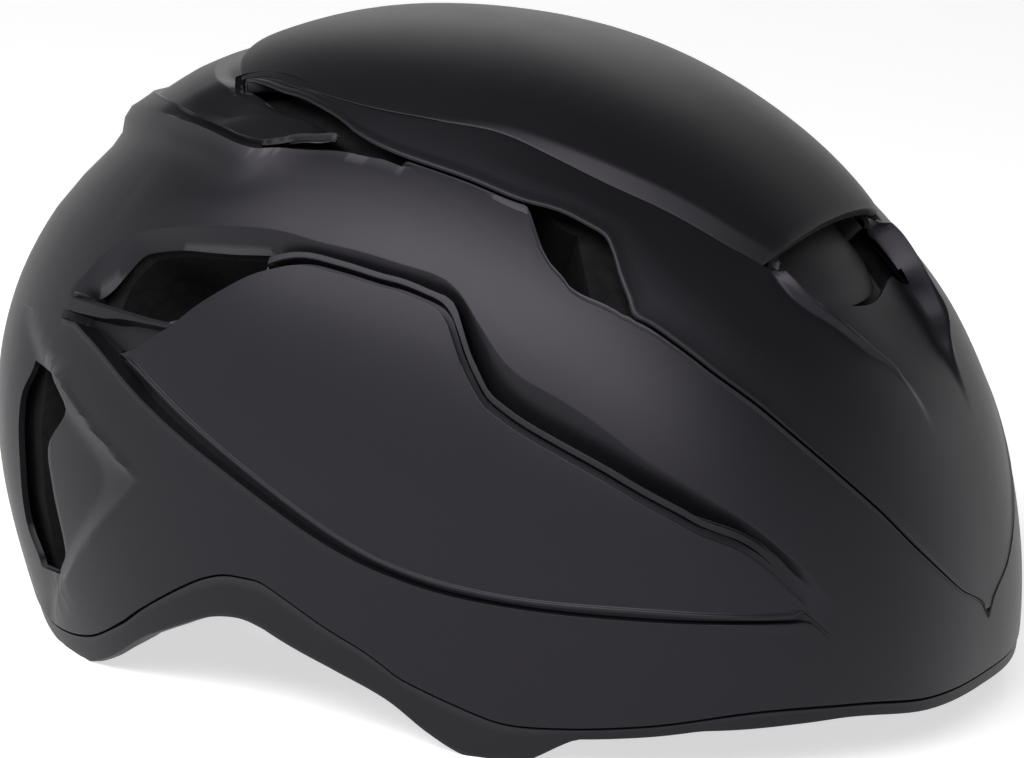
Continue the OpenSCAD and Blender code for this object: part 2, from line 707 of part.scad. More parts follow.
module strap_divider() {
    slot = 2.6;
    color("#17171a") on_wall(divider_az, divider_el, 2.4) linear_extrude(3) difference() {
        intersection() {
            square([divider_w, 34], center = true);
            circle(r = 18);
        }
        for (x = [-7, 7]) translate([x - slot / 2, -14.5]) square([slot, strap_w + 1]);
        translate([-(strap_w + 1) / 2, 6.5]) square([strap_w + 1, slot]);
    }
}
module strap_divider_left() {
    strap_divider();
}
module strap_divider_right() {
    flipped(true) strap_divider();
}
buckle_off = 6.5;
buckle_l = 24;
buckle_w = 21;
buckle_t = 8;
prong_base = 13;
module chin_strap_left() {
    near = asin((max(buckle_l, prong_base) + 2) / cavity_x) + 3;
    strap([
        for (t = [0:0.0625:1])
            let (
                az = mix(near, divider_side(-1), t),
                off = mix(buckle_off + 1, chin_off, ease(near, near + 14, az))
            )
            [az, chin_el, off]
    ]);
}
module chin_strap_right() {
    flipped(true) chin_strap_left();
}
module buckle_socket() {
    color("#121214") on_wall(0, chin_el, buckle_off) difference() {
        translate([0.5, -buckle_w / 2, 0]) cube([buckle_l, buckle_w, buckle_t]);
        translate([0.4, -(buckle_w - 5) / 2, 2]) cube([buckle_l - 7, buckle_w - 5, buckle_t - 4]);
        translate([buckle_l - 4, -(strap_w + 1) / 2, -1]) cube([2, strap_w + 1, buckle_t + 2]);
    }
}
module buckle_prong() {
    prong = buckle_l - 9;
    color("#121214") on_wall(0, chin_el, buckle_off) difference() {
        union() {
            translate([-prong_base, -buckle_w / 2, 1]) cube([prong_base, buckle_w, buckle_t - 2]);
            for (y = [-7.4, 4.4]) translate([-1, y, 2.4]) cube([prong, 3, buckle_t - 4.8]);
            translate([-1, -1.5, 2.4]) cube([prong - 3, 3, buckle_t - 4.8]);
        }
        translate([3.5 - prong_base, -(strap_w + 1) / 2, -1]) cube([2, strap_w + 1, buckle_t + 2]);
    }
}
module strap_keepers() {
    room = 0.4;
    wall = 1;
    color("#0e0e10") for (right = [false, true])
        flipped(right) on_wall(44, chin_el, 1.6) rotate([90, 0, 90]) linear_extrude(5, center = true)
            difference() {
                translate([-strap_w / 2 - room - wall, 0])
                    square([strap_w + 2 * (room + wall), strap_t + 2.4 + wall]);
                translate([-strap_w / 2 - room, wall - 0.2]) square([strap_w + 2 * room, strap_t + 1.7]);
            }
}

// Fit system: two bands that swing on pins at the temples, and a yoke that the dial draws along
temple_x = 30;
fit_z = -14;
temple_y = cavity_y - 9.1;
sleeve_y = cavity_y - 24;
band_end_x = -66;
straight_x = -30;
yoke_y = sleeve_y - band_t / 2 - 1.6;
yoke_x = -42;
yoke_back = -89;
yoke_t = 1.8;
eye_r = 6;
bow = 2;
function band_y(x) =
    mix(sleeve_y, temple_y + bow, ease(straight_x, 10, x)) - bow * ease(10, temple_x, x);
module temple_anchors() {
    color("#1b1b1e") at_head() for (right = [false, true])
        flipped(right) translate([temple_x, temple_y, fit_z]) rotate([-90, 0, 0]) {
            translate([0, 0, 1.5]) cylinder(h = 1.2, r = eye_r + 1);
            translate([0, 0, -3.2]) cylinder(h = 5, r = band_pin_r);
            translate([0, 0, -3.2]) cylinder(h = 1.6, r = band_pin_r + 2);
        }
}
module fit_band() {
    xs = [for (x = [band_end_x:4:temple_x - 4]) x];
    color("#28282c") difference() {
        union() {
            translate([0, 0, fit_z - band_h / 2]) linear_extrude(band_h) polygon(concat(
                [for (x = xs) [x, band_y(x) + band_t / 2]],
                [for (i = [len(xs) - 1:-1:0]) [xs[i], band_y(xs[i]) - band_t / 2]]
            ));
            translate([temple_x, temple_y, fit_z]) rotate([-90, 0, 0])
                cylinder(h = 2.4, r = eye_r, center = true);
        }
        translate([temple_x, temple_y, fit_z]) rotate([-90, 0, 0])
            cylinder(h = 8, r = band_pin_r + run_gap, center = true);
    }
}
module fit_band_left() {
    at_head() fit_band();
}
module fit_band_right() {
    at_head() flipped(true) fit_band();
}
// A point on the yoke's curve, from one end at -1 to the other at 1, moved outwards by off
function yoke_at(s, off) =
    let (c = cos(90 * s), q = 2 / 3)
    [yoke_x + (yoke_back - yoke_x - off) * c ^ q, sign(s) * (yoke_y + off) * abs(sin(90 * s)) ^ q];
housing_r = dial_r + 2;
housing_t = 5.6;
module nape_yoke() {
    shares = [for (s = [-1:0.0625:1]) s];
    room = 0.35;
    color("#232327") at_head() translate([0, 0, fit_z]) difference() {
        union() {
            translate([0, 0, -band_h / 2]) linear_extrude(band_h) difference() {
                polygon(concat(
                    [for (s = shares) yoke_at(s, yoke_t / 2)],
                    [for (i = [len(shares) - 1:-1:0]) yoke_at(shares[i], -yoke_t / 2)]
                ));
                translate([yoke_back - 3, -housing_r + 1]) square([8, 2 * housing_r - 2]);
            }
            translate([yoke_back - 2, 0, 0]) rotate([0, 90, 0]) cylinder(h = housing_t, r = housing_r);
            for (k = [-1, 1]) translate([yoke_x - 8, k * (sleeve_y - 0.9), 0])
                cube([8, band_t + 5.4, band_h + 3.4], center = true);
        }
        translate([yoke_back, 0, 0]) rotate([0, 90, 0]) cylinder(h = 20, r = housing_r - 1.6);
        translate([yoke_back - 5, 0, 0]) rotate([0, 90, 0]) cylinder(h = 20, r = shaft_r + run_gap);
        for (k = [-1, 1]) translate([yoke_x - 8, k * sleeve_y, 0])
            cube([20, band_t + 2 * room, band_h + 2 * room], center = true);
    }
}
module dial_housing_cap() {
    color("#2b2b30") at_head() translate([yoke_back - 2 + housing_t, 0, fit_z]) rotate([0, 90, 0])
        cylinder(h = 1.4, r = housing_r);
}
module nape_pads() {
    n = 8;
    m = 4;
    edge = 0.8;
    crown = 3.4;
    face = function(deep) [
        for (i = [0:n])
            [
                for (j = [0:m])
                    let (
                        u = 2 * i / n - 1,
                        v = 1 - 2 * j / m,
                        t = edge + crown * (1 - u ^ 4) * (1 - v ^ 4),
                        p = yoke_at(mix(-0.62, -0.3, (u + 1) / 2), -yoke_t / 2 - 0.4 - (deep ? t : 0))
                    )
                    [p.x, p.y, v * (band_h / 2 + 2) * (1 - 0.1 * (1 - u * u))]
            ]
    ];
    color("#3c3c42") at_head() translate([0, 0, fit_z]) for (right = [false, true])
        flipped(right) wall_mesh(face(true), face(false));
}
module fit_lace() {
    r = 0.6;
    sides = 6;
    path = [for (s = [-0.84:0.09:-0.3]) let (p = yoke_at(s, yoke_t / 2 + r + 0.3)) [p.x, p.y]];
    rings = [
        for (p = path)
            let (k = [yoke_x, 0] - p, d = k / norm(k))
            [
                for (a = [0:360 / sides:359])
                    [p.x - d.x * r * cos(a), p.y - d.y * r * cos(a), r * sin(a)]
            ]
    ];
    color("#8a8a90") at_head() translate([0, 0, fit_z]) for (right = [false, true])
        flipped(right) swept(rings);
}
screw_r = 1;
screw_l = 7.15;
module dial_knob() {
    grips = 14;
    color("#18181b") at_head() translate([yoke_back - 2.5, 0, fit_z]) rotate([0, -90, 0]) difference() {
        union() {
            linear_extrude(dial_t) difference() {
                circle(r = dial_r);
                for (k = [0:grips - 1])
                    rotate(k * 360 / grips) translate([dial_r + 0.9, 0]) circle(r = 1.9);
            }
            translate([0, 0, -2.9]) cylinder(h = 3, r = shaft_r);
        }
        translate([0, 0, -3]) cylinder(h = dial_t, r = screw_r + run_gap);
    }
}
module dial_drum() {
    color("#4a4a50") at_head() translate([yoke_back + 0.5, 0, fit_z]) rotate([0, 90, 0]) difference() {
        union() {
            cylinder(h = 2.6, r = drum_r);
            cylinder(h = 0.7, r = drum_r + 1.6);
        }
        translate([0, 0, -1]) cylinder(h = 5, r = screw_r + run_gap);
    }
}
module dial_screw() {
    color("#9a9aa0") at_head() translate([yoke_back - 4, 0, fit_z]) rotate([0, 90, 0]) {
        cylinder(h = screw_l, r = screw_r);
        translate([0, 0, screw_l]) cylinder(h = 0.4, r = 1.9 * screw_r);
    }
}

lower_shell();
crown_shell();
top_cover();
side_panel_left();
side_panel_right();
rim_band();
foam_liner_front();
foam_liner_rear_left();
foam_liner_rear_right();
vent_duct();
vent_shutter();
shutter_guides();
brow_pad();
crown_pad_left();
crown_pad_right();
side_pad_left();
side_pad_right();
rear_pad_left();
rear_pad_right();
hook_discs();
strap_anchors();
front_strap_left();
front_strap_right();
rear_strap_left();
rear_strap_right();
strap_divider_left();
strap_divider_right();
chin_strap_left();
chin_strap_right();
buckle_socket();
buckle_prong();
strap_keepers();
temple_anchors();
fit_band_left();
fit_band_right();
nape_yoke();
dial_housing_cap();
nape_pads();
fit_lace();
dial_knob();
dial_drum();
dial_screw();
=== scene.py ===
# %% [markdown]
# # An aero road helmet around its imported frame
# The frame holds every piece of the helmet at its real size and place. This script dresses it:
# it makes the moulded shells, the foam, the pads and the webbing as fine meshes, and gives every
# piece a finish. The frame comes first, because each new piece is fitted to it.

# %% Load the frame
import math

import bmesh
import bpy
from mathutils import Matrix, Vector


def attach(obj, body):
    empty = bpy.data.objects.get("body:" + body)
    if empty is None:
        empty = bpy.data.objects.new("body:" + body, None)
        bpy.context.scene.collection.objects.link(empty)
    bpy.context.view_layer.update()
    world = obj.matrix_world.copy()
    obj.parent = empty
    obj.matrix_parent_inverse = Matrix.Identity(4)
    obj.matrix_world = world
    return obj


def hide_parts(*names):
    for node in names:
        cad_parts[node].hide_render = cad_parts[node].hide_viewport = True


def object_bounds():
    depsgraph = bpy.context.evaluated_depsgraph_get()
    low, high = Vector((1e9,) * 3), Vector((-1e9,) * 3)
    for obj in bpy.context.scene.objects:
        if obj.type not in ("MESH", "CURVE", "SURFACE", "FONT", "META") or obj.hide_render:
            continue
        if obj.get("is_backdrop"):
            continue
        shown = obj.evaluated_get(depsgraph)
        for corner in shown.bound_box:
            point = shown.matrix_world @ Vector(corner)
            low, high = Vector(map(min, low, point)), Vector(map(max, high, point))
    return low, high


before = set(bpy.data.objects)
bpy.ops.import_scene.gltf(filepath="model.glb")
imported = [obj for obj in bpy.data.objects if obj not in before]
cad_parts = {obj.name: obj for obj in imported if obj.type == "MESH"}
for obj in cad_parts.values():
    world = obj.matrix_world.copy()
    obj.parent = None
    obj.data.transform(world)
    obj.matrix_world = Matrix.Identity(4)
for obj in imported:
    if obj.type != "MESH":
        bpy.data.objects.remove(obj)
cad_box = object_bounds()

# %% [markdown]
# ## Camera and light first
# The photograph was taken from the front right, a little above the helmet, with a long lens. The
# camera stands where that view puts it. Its lens gives the helmet the width that it has there.

# %% Camera
MM = 0.001
HEAD = Vector((-2.955, 0, 47))
VIEW_TURN = 26.4
VIEW_RISE = 14.29
VIEW_ROLL = 2.34
VIEW_DISTANCE = 1500
VIEW_RIGHT = 4.0
VIEW_UP = 25.4
SENSOR = 36
LENS = 191.2


def placed(name, data):
    """A new object of that data, in the scene."""
    thing = bpy.data.objects.new(name, data)
    bpy.context.scene.collection.objects.link(thing)
    return thing


def add_camera():
    turn, rise, roll = (math.radians(x) for x in (VIEW_TURN, VIEW_RISE, VIEW_ROLL))
    back = Vector((math.sin(turn) * math.cos(rise), -math.cos(turn) * math.cos(rise), math.sin(rise)))
    level = Vector((math.cos(turn), math.sin(turn), 0))
    steep = back.cross(level)
    right = level * math.cos(roll) + steep * math.sin(roll)
    up = back.cross(right)
    at = (HEAD + right * VIEW_RIGHT + up * VIEW_UP + back * VIEW_DISTANCE) * MM
    data = bpy.data.cameras.new("camera")
    data.sensor_width = SENSOR
    data.lens = LENS
    data.clip_start = 0.05
    data.clip_end = 20
    camera = placed("camera", data)
    camera.matrix_world = Matrix.Translation(at) @ Matrix((right, up, back)).transposed().to_4x4()
    bpy.context.scene.camera = camera
    return camera


camera = add_camera()
print("camera at", [round(x, 3) for x in camera.location])

# %% [markdown]
# The photograph has a white ground and one broad light on the side that the camera sees, rather
# high, so the top stays dark and the shoulder and the leaf panel shine softly. A large area lamp
# makes that light, and a weak one behind draws the far edge. White behind the helmet is the
# colour that camera rays see, and not a lamp.

# %% Lamps
# Name: place in metres, width and height in metres, power in watts
LAMPS = {
    "key": ((-0.05, -1.2, 1.2), (2.3, 0.75), 46),
    "rear": ((-0.8, 1.9, 1.1), (1.2, 0.9), 4),
}
LAMP_AIM = Vector((0, 0, 20))


def add_lamp(name, place, size, power):
    data = bpy.data.lights.new(name, "AREA")
    data.shape = "RECTANGLE"
    data.size, data.size_y = size
    data.energy = power
    lamp = placed(name, data)
    lamp.location = place
    aim = (HEAD + LAMP_AIM) * MM - Vector(place)
    lamp.rotation_euler = aim.to_track_quat("-Z", "Y").to_euler()


for name, (place, size, power) in LAMPS.items():
    add_lamp(name, place, size, power)
print("lamps", len(LAMPS))

# %% [markdown]
# ## Writing materials as expressions
# A finish is a small tree of shader nodes. One class wraps a socket, so that a plain Python
# expression such as 1 - grain * 0.2 adds the Math nodes. A second class holds the tree of a
# material or of the world, and adds any other node from its type, its settings and its inputs.

# %% Sockets and trees
class Signal:
    def __init__(self, tree, socket):
        self.tree = tree
        self.socket = socket

    def _math(self, operation, first, second):
        node = self.tree.node("ShaderNodeMath", {"operation": operation}, {0: first, 1: second})
        return Signal(self.tree, node.outputs[0])

    def __add__(self, other):
        return self._math("ADD", self, other)

    def __radd__(self, other):
        return self._math("ADD", other, self)

    def __sub__(self, other):
        return self._math("SUBTRACT", self, other)

    def __rsub__(self, other):
        return self._math("SUBTRACT", other, self)

    def __mul__(self, other):
        return self._math("MULTIPLY", self, other)

    def __rmul__(self, other):
        return self._math("MULTIPLY", other, self)


class Tree:
    def __init__(self, owner):
        owner.use_nodes = True
        self.owner = owner
        self.nodes = owner.node_tree.nodes
        self.links = owner.node_tree.links

    def node(self, kind, settings=None, inputs=None):
        node = self.nodes.new(kind)
        for key, value in (settings or {}).items():
            setattr(node, key, value)
        for key, value in (inputs or {}).items():
            self.feed(node.inputs[key], value)
        return node

    def feed(self, socket, value):
        if isinstance(value, Signal):
            value = value.socket
        if isinstance(value, bpy.types.NodeSocket):
            self.links.new(value, socket)
        elif socket.type == "RGBA" and len(value) == 3:
            socket.default_value = (*value, 1)
        else:
            socket.default_value = value

    def place(self):
        return self.node("ShaderNodeTexCoord").outputs["Object"]

    def noise(self, scale, detail=2.0, rough=0.5, vector=None):
        node = self.node(
            "ShaderNodeTexNoise", None,
            {"Vector": vector or self.place(), "Scale": scale, "Detail": detail, "Roughness": rough},
        )
        return Signal(self, node.outputs["Fac"])

    def cells(self, scale, vector, feature="F1"):
        node = self.node("ShaderNodeTexVoronoi", {"feature": feature}, {"Vector": vector, "Scale": scale})
        return Signal(self, node.outputs["Distance"])

    def mix(self, share, first, second):
        node = self.node(
            "ShaderNodeMix", {"data_type": "RGBA"}, {"Factor": share, "A": first, "B": second}
        )
        return node.outputs["Result"]

    def bump(self, height, strength, depth):
        node = self.node(
            "ShaderNodeBump", None, {"Height": height, "Strength": strength, "Distance": depth}
        )
        return node.outputs["Normal"]


class Finish(Tree):
    """A material, set by the names of its shader's sockets."""

    def __init__(self, name):
        super().__init__(bpy.data.materials.new(name))
        self.shader = self.nodes["Principled BSDF"]

    def set(self, **values):
        for key, value in values.items():
            self.feed(self.shader.inputs[key.replace("_", " ")], value)
        return self.owner


print("shader helpers ready")

# %% [markdown]
# ## Finishes
# The shells are matte black plastic, moulded in a grained tool. Seen close it has a fine grain a
# few tenths of a millimetre across, and a faint cloudiness where it was handled. Both are noise:
# the fine one feeds a bump, the broad one the roughness and the colour. Sharp edges and beads
# carry a painted highlight, a paler colour where Geometry's Pointiness is high.

# %% Moulded plastics
# Sizes of the pattern in mm
CLOUD = 34
SPECK = 1.6
GRAIN_DEPTH = 0.06
PALER = 1.35
SHEEN = 0.26
SHEEN_TINT = (0.93, 0.88, 1)
# Strength and colour of the painted highlight on sharp edges and beads
EDGE_HIGHLIGHT = 0.45
HIGHLIGHT_COLOUR = (0.09, 0.088, 0.095)
# Pointiness at which an edge's painted highlight starts, and at which it is full
HIGHLIGHT_FROM, HIGHLIGHT_TO = 0.53, 0.62


def moulded(name, colour, gloss, grain=0.35):
    finish = Finish(name)
    fine = finish.noise(1 / (grain * MM), 3.0, 0.6)
    broad = finish.noise(1 / (CLOUD * MM), 3.0, 0.55)
    speck = finish.noise(1 / (SPECK * MM), 2.0, 0.5)
    # Painted highlight: a paler colour where Pointiness shows a sharp edge or bead
    painted_highlight = finish.node("ShaderNodeMapRange", None, {
        "Value": finish.node("ShaderNodeNewGeometry").outputs["Pointiness"],
        "From Min": HIGHLIGHT_FROM, "From Max": HIGHLIGHT_TO, "To Max": EDGE_HIGHLIGHT,
    }).outputs["Result"]
    body = finish.mix(broad * 0.3 + speck * 0.35, colour, tuple(c * PALER for c in colour))
    return finish.set(
        # Base colour with the painted highlight along sharp edges
        Base_Color=finish.mix(painted_highlight, body, HIGHLIGHT_COLOUR),
        Roughness=broad * 0.09 + fine * 0.06 + (gloss - 0.075),
        Normal=finish.bump(fine, 0.3, GRAIN_DEPTH * MM),
        Specular_IOR_Level=SHEEN,
        Specular_Tint=SHEEN_TINT,
    )


shell_finish = moulded("shell_plastic", (0.0052, 0.005, 0.0062), 0.42)
cover_finish = moulded("cover_plastic", (0.0044, 0.0043, 0.005), 0.45, grain=0.4)
panel_finish = moulded("panel_plastic", (0.0055, 0.0054, 0.007), 0.4, grain=0.3)
rim_finish = moulded("rim_plastic", (0.005, 0.005, 0.0058), 0.48, grain=0.5)
vent_finish = moulded("vent_plastic", (0.012, 0.0118, 0.013), 0.5, grain=0.45)
fit_finish = moulded("fit_plastic", (0.012, 0.012, 0.0135), 0.42, grain=0.25)
print("plastics ready")

# %% [markdown]
# Expanded foam is made of beads that fused in the mould. Voronoi cells a few millimetres across
# give the beads: their edges are shallow grooves, darker than the middle. The dial's rubber is
# dusty, and the one steel piece is a plated screw.

# %% Foam, rubber and steel
BEAD = 3.4


def fused_foam():
    finish = Finish("foam")
    where = finish.place()
    bead = finish.cells(1 / (BEAD * MM), where)
    skin = finish.noise(1 / (0.8 * MM), 2.0, 0.6, where)
    return finish.set(
        Base_Color=finish.mix(bead * 0.9 + skin * 0.2, (0.008, 0.008, 0.009), (0.0035, 0.0035, 0.004)),
        Roughness=skin * 0.15 + 0.72,
        Specular_IOR_Level=0.12,
        Normal=finish.bump(1 - bead * bead, 0.55, 0.35 * MM),
    )


def soft_rubber():
    finish = Finish("soft_rubber")
    skin = finish.noise(1 / (0.5 * MM), 2.0, 0.6)
    dust = finish.noise(1 / (9 * MM), 3.0, 0.6)
    return finish.set(
        Base_Color=finish.mix(dust, (0.012, 0.012, 0.012), (0.02, 0.02, 0.02)),
        Roughness=skin * 0.1 + 0.6,
        Normal=finish.bump(skin, 0.25, 0.05 * MM),
    )


def plated_steel():
    finish = Finish("steel")
    brushed = finish.noise(1 / (0.3 * MM), 3.0, 0.7)
    return finish.set(
        Base_Color=finish.mix(brushed, (0.5, 0.5, 0.52), (0.62, 0.62, 0.63)),
        Metallic=1.0,
        Roughness=brushed * 0.15 + 0.28,
    )


foam_finish = fused_foam()
rubber_finish = soft_rubber()
steel_finish = plated_steel()
print("foam, rubber and steel ready")

# %% [markdown]
# The pads are covered with a knit: Voronoi cells are its loops, and fine noise is its fuzz. The
# straps are woven tape, and two wave textures that cross give the threads, one in level bands
# and one on the slant. All of them read the place on the helmet, so they need no map.

# %% Cloth
LOOP_PALER = 1.9
# Waves of the tape's threads, in Blender's scale for bands
LEVEL_THREADS = 300.0
SLANT_THREADS = 380.0


def knit(name, colour, pitch):
    finish = Finish(name)
    where = finish.place()
    loops = finish.cells(1 / (pitch * MM), where, "SMOOTH_F1")
    fuzz = finish.noise(1 / (0.35 * MM), 3.0, 0.7, where)
    return finish.set(
        Base_Color=finish.mix(loops * 0.7 + fuzz * 0.3, tuple(c * LOOP_PALER for c in colour), colour),
        Roughness=fuzz * 0.1 + 0.86,
        Sheen_Weight=0.25,
        Normal=finish.bump(loops + fuzz * 0.3, 0.5, 0.25 * MM),
    )


def webbing():
    finish = Finish("strap_webbing")
    where = finish.place()
    across = finish.node(
        "ShaderNodeTexWave", {"bands_direction": "Z"},
        {"Vector": where, "Scale": LEVEL_THREADS, "Distortion": 1.2, "Detail": 1.0},
    )
    along = finish.node(
        "ShaderNodeTexWave", {"bands_direction": "DIAGONAL"},
        {"Vector": where, "Scale": SLANT_THREADS, "Distortion": 0.6, "Detail": 1.0},
    )
    weave = Signal(finish, across.outputs["Fac"]) * 0.6 + Signal(finish, along.outputs["Fac"]) * 0.4
    return finish.set(
        Base_Color=finish.mix(weave, (0.007, 0.007, 0.008), (0.022, 0.022, 0.024)),
        Roughness=weave * 0.12 + 0.68,
        Normal=finish.bump(weave, 0.6, 0.25 * MM),
    )


pad_finish = knit("pad_fabric", (0.011, 0.011, 0.012), 0.9)
hook_finish = knit("hook_tape", (0.008, 0.008, 0.009), 0.5)
lace_finish = knit("lace_cord", (0.035, 0.035, 0.04), 0.3)
webbing_finish = webbing()
print("cloth ready")

# %% [markdown]
# ## The helmet's surface
# The shells share one smooth surface, the same as in the frame. A closed curve gives its radius
# in the middle plane, and each point beside that plane is drawn in like a rounded square. Places
# on it are an azimuth from the front and an elevation, both in degrees, and a depth below it.

# %% Curves and the outer surface
PROFILE = [144.5, 136, 128, 124.5, 125, 127, 136, 138, 146, 141.5, 132, 138.5, 153.25,
           168, 168, 168, 161, 155]
PROFILE_STEP = 20
SIDE_R = 104.5
SQUARE = 2.38
# Half length, half width and height of the head's room
CAVITY = (104, 81, 97)


def ease(a, b, x):
    t = max(0.0, min(1.0, (x - a) / (b - a)))
    return t * t * (3 - 2 * t)


def mix(a, b, t):
    return a + (b - a) * t


def bell(a, b, c, d, x):
    return ease(a, b, x) * (1 - ease(c, d, x))


def curve(points, x):
    if x <= points[0][0]:
        return points[0][1]
    if x >= points[-1][0]:
        return points[-1][1]
    i = max(k for k in range(len(points) - 1) if points[k][0] <= x)

    def slope(k):
        if k in (0, len(points) - 1):
            return 0
        return (points[k + 1][1] - points[k - 1][1]) / (points[k + 1][0] - points[k - 1][0])

    h = points[i + 1][0] - points[i][0]
    t = (x - points[i][0]) / h
    return (
        (2 * t ** 3 - 3 * t ** 2 + 1) * points[i][1] + (t ** 3 - 2 * t ** 2 + t) * h * slope(i)
        + (3 * t ** 2 - 2 * t ** 3) * points[i + 1][1] + (t ** 3 - t ** 2) * h * slope(i + 1)
    )


def profile_r(angle):
    u = (angle % 360) / PROFILE_STEP
    i = int(u)
    f = u - i
    r = [PROFILE[(i + k) % len(PROFILE)] for k in (-1, 0, 1, 2)]
    return (
        (1 - f) ** 3 * r[0] + (3 * f ** 3 - 6 * f ** 2 + 4) * r[1]
        + (3 * f + 3 * f ** 2 - 3 * f ** 3 + 1) * r[2] + f ** 3 * r[3]
    ) / 6


def towards(az, el):
    a, e = math.radians(az), math.radians(el)
    return Vector((math.cos(e) * math.cos(a), math.cos(e) * math.sin(a), math.sin(e)))


def on_shell(az, el, depth=0.0):
    d = towards(az, el)
    c = math.hypot(d.x, d.z) / (profile_r(math.degrees(math.atan2(d.z, d.x))) - depth)
    s = abs(d.y) / (SIDE_R - depth)
    return d * (c ** SQUARE + s ** SQUARE) ** (-1 / SQUARE)


def on_top(angle, y, depth=0.0):
    k = (1 - min(0.999, abs(y) / (SIDE_R - depth)) ** SQUARE) ** (1 / SQUARE)
    r = (profile_r(angle) - depth) * k
    return Vector((r * math.cos(math.radians(angle)), y, r * math.sin(math.radians(angle))))


def on_cavity(az, el, depth=0.0):
    d = towards(az, el)
    return d / Vector([c / (h - depth) for c, h in zip(d, CAVITY)]).length


def side_az(az):
    az = az % 360
    return 360 - az if az > 180 else az


top = on_shell(90, 0)
print("half width", round(top.y, 1), "mm, top at", round(on_top(80, 0).z + HEAD.z, 1), "mm")

# %% [markdown]
# Lines drawn on that surface part the pieces. They are the lines of the frame: the edge of the
# crown, the edge of the side recess, the leaf panel, the strut, and the lower edges. Each is a
# list of (azimuth, elevation), except the last ones: the half widths of the crown and of the
# cover, and the gap of the cheek vent, all in mm, go by the angle up from the front.

# %% Lines on the surface
RECESS = [
    (0, -8.3), (12, -6.6), (24, -1.5), (28, 3), (31.8, 6.8), (35, 9.5), (41.3, 13.8), (45.8, 16.9),
    (50.5, 20.7), (55.5, 24.1), (60.9, 27.1), (63.8, 29.6), (67, 33.5), (70.5, 37.5), (74.1, 39.5),
    (81.2, 40.8), (88.8, 41.7), (96.5, 41.9), (104.5, 41.9), (112.2, 40.7), (119.5, 38.7),
    (127.1, 36.2), (130.6, 34.5), (133.9, 32.2), (136.2, 29.4), (138, 26.1), (139.5, 25.4),
    (150, 22.5), (180, 20.5),
]
PANEL_TOP = [
    (0, -9.2), (12, -8.2), (24, -4), (28.9, 0.5), (30.9, 2.7), (33, 4.7), (35.2, 6.2), (39.5, 8.1),
    (41.6, 9.4), (46, 12), (50.6, 14.9), (55.5, 17.7), (60.7, 20.6), (63.5, 22.4), (65.6, 24),
    (67.2, 26.1), (68.8, 28.6), (70.1, 31.1), (71.7, 34), (73.5, 35.8), (77, 37), (80.5, 37.8),
    (84, 38.2), (91.5, 39), (99, 39), (105.3, 36.9), (108.7, 35), (114.4, 30.6), (118.8, 26.3),
    (125.5, 20.9), (129.5, 21.2), (133, 21.8), (138, 22), (150, 20.2), (180, 18.4),
]
PANEL_LOW = [
    (0, -10), (12, -9.4), (24, -4.9), (27.5, -1.4), (28.8, -1.3), (30, -1.8), (37.5, -1.8),
    (46, -1.6), (60, -1.6), (70.5, -0.8), (79.5, 1), (86, 3.3), (92.5, 6.2), (99.2, 9.4),
    (106.2, 12.6), (113.5, 15.8), (120, 18.6), (125.5, 20.4), (129.5, 20.6), (133, 21.2), (138, 21.9),
    (150, 19.6), (180, 17.8),
]
GROOVE = [
    (0, -10.8), (12, -10.3), (24, -5.9), (27.5, -2.6), (30, -2.4), (46, -2.5), (60, -2.5),
    (70.5, -1.9), (79.5, -0.3), (86, 1.6), (92.5, 4.2), (99, 7.2), (106, 10.3), (113.2, 13.2),
    (120.8, 16.3), (129.5, 19.8), (134.8, 21.1), (138, 21.75), (150, 19), (180, 17.2),
]
VENT_TOP = [
    (103, 40), (106, 39.6), (110, 38.8), (112.5, 38.2), (120.2, 36.5), (124.2, 35.5), (130, 33.2),
    (131.5, 32), (132.5, 30.2), (133.5, 28.2), (134.5, 26.5), (136, 25), (138, 24.4), (140, 24.2),
]
STRUT = [
    (103, 36), (116, 28), (118.8, 26.3), (121, 25.9), (124.2, 25.5), (128, 25.05), (133.2, 24.3),
    (137.8, 23.5), (141, 23.2),
]
STRUT_DEEP = [(118, 0.35), (124, 0.5), (128, 0.8), (131, 1.3), (138, 1.5)]
DECK_EDGE = [
    (85, 54.9), (103.5, 56.3), (106, 56.6), (111, 56.8), (115, 57), (120.8, 56.5), (126.2, 56.2),
    (132.5, 56.2), (139.5, 55.6), (150, 54.8), (180, 54.6),
]
LENS_TOP = [
    (85, 54.6), (103.5, 56.1), (111, 56.4), (115, 56.6), (120, 56), (123, 55.4), (129, 53.5),
    (132.5, 51.9), (139.5, 51), (150, 50.4), (180, 49.5),
]
LIP = [
    (85, 54.4), (103.5, 55.8), (107.2, 55), (111.5, 54), (115, 52.5), (119, 51.2), (123.8, 50.5),
    (129.2, 50.2), (139.5, 49), (150, 47.3), (180, 42.8),
]
CREST = [
    (85, 54.1), (93.5, 54), (100.5, 53.8), (109.2, 52.2), (113.5, 51.2), (117.2, 49.9), (121, 49.3),
    (125.2, 49), (131, 48.5), (137.5, 47.5), (145, 46.2), (153.8, 44.2), (165, 41.5), (180, 40),
]
CREST_LIFT = [(104, 0), (125, 2.4), (140, 3.2), (180, 3.6)]
SHELL_LOW = [
    (0, -12), (12, -12), (22, -11.3), (33, -12), (45, -15), (54, -17), (61, -18), (66, -17.4),
    (76, -15), (79, -13.5), (82.2, -12), (85.5, -10.8), (88.8, -9.5), (92, -8), (95.2, -6.5),
    (98.8, -5), (102, -4.8), (105.2, -5), (108.8, -6.2), (112.2, -8), (116, -10.2), (119.8, -12.5),
    (124, -15.2), (132, -18.4), (143, -19), (155, -17), (168, -14.5), (180, -13.5),
]
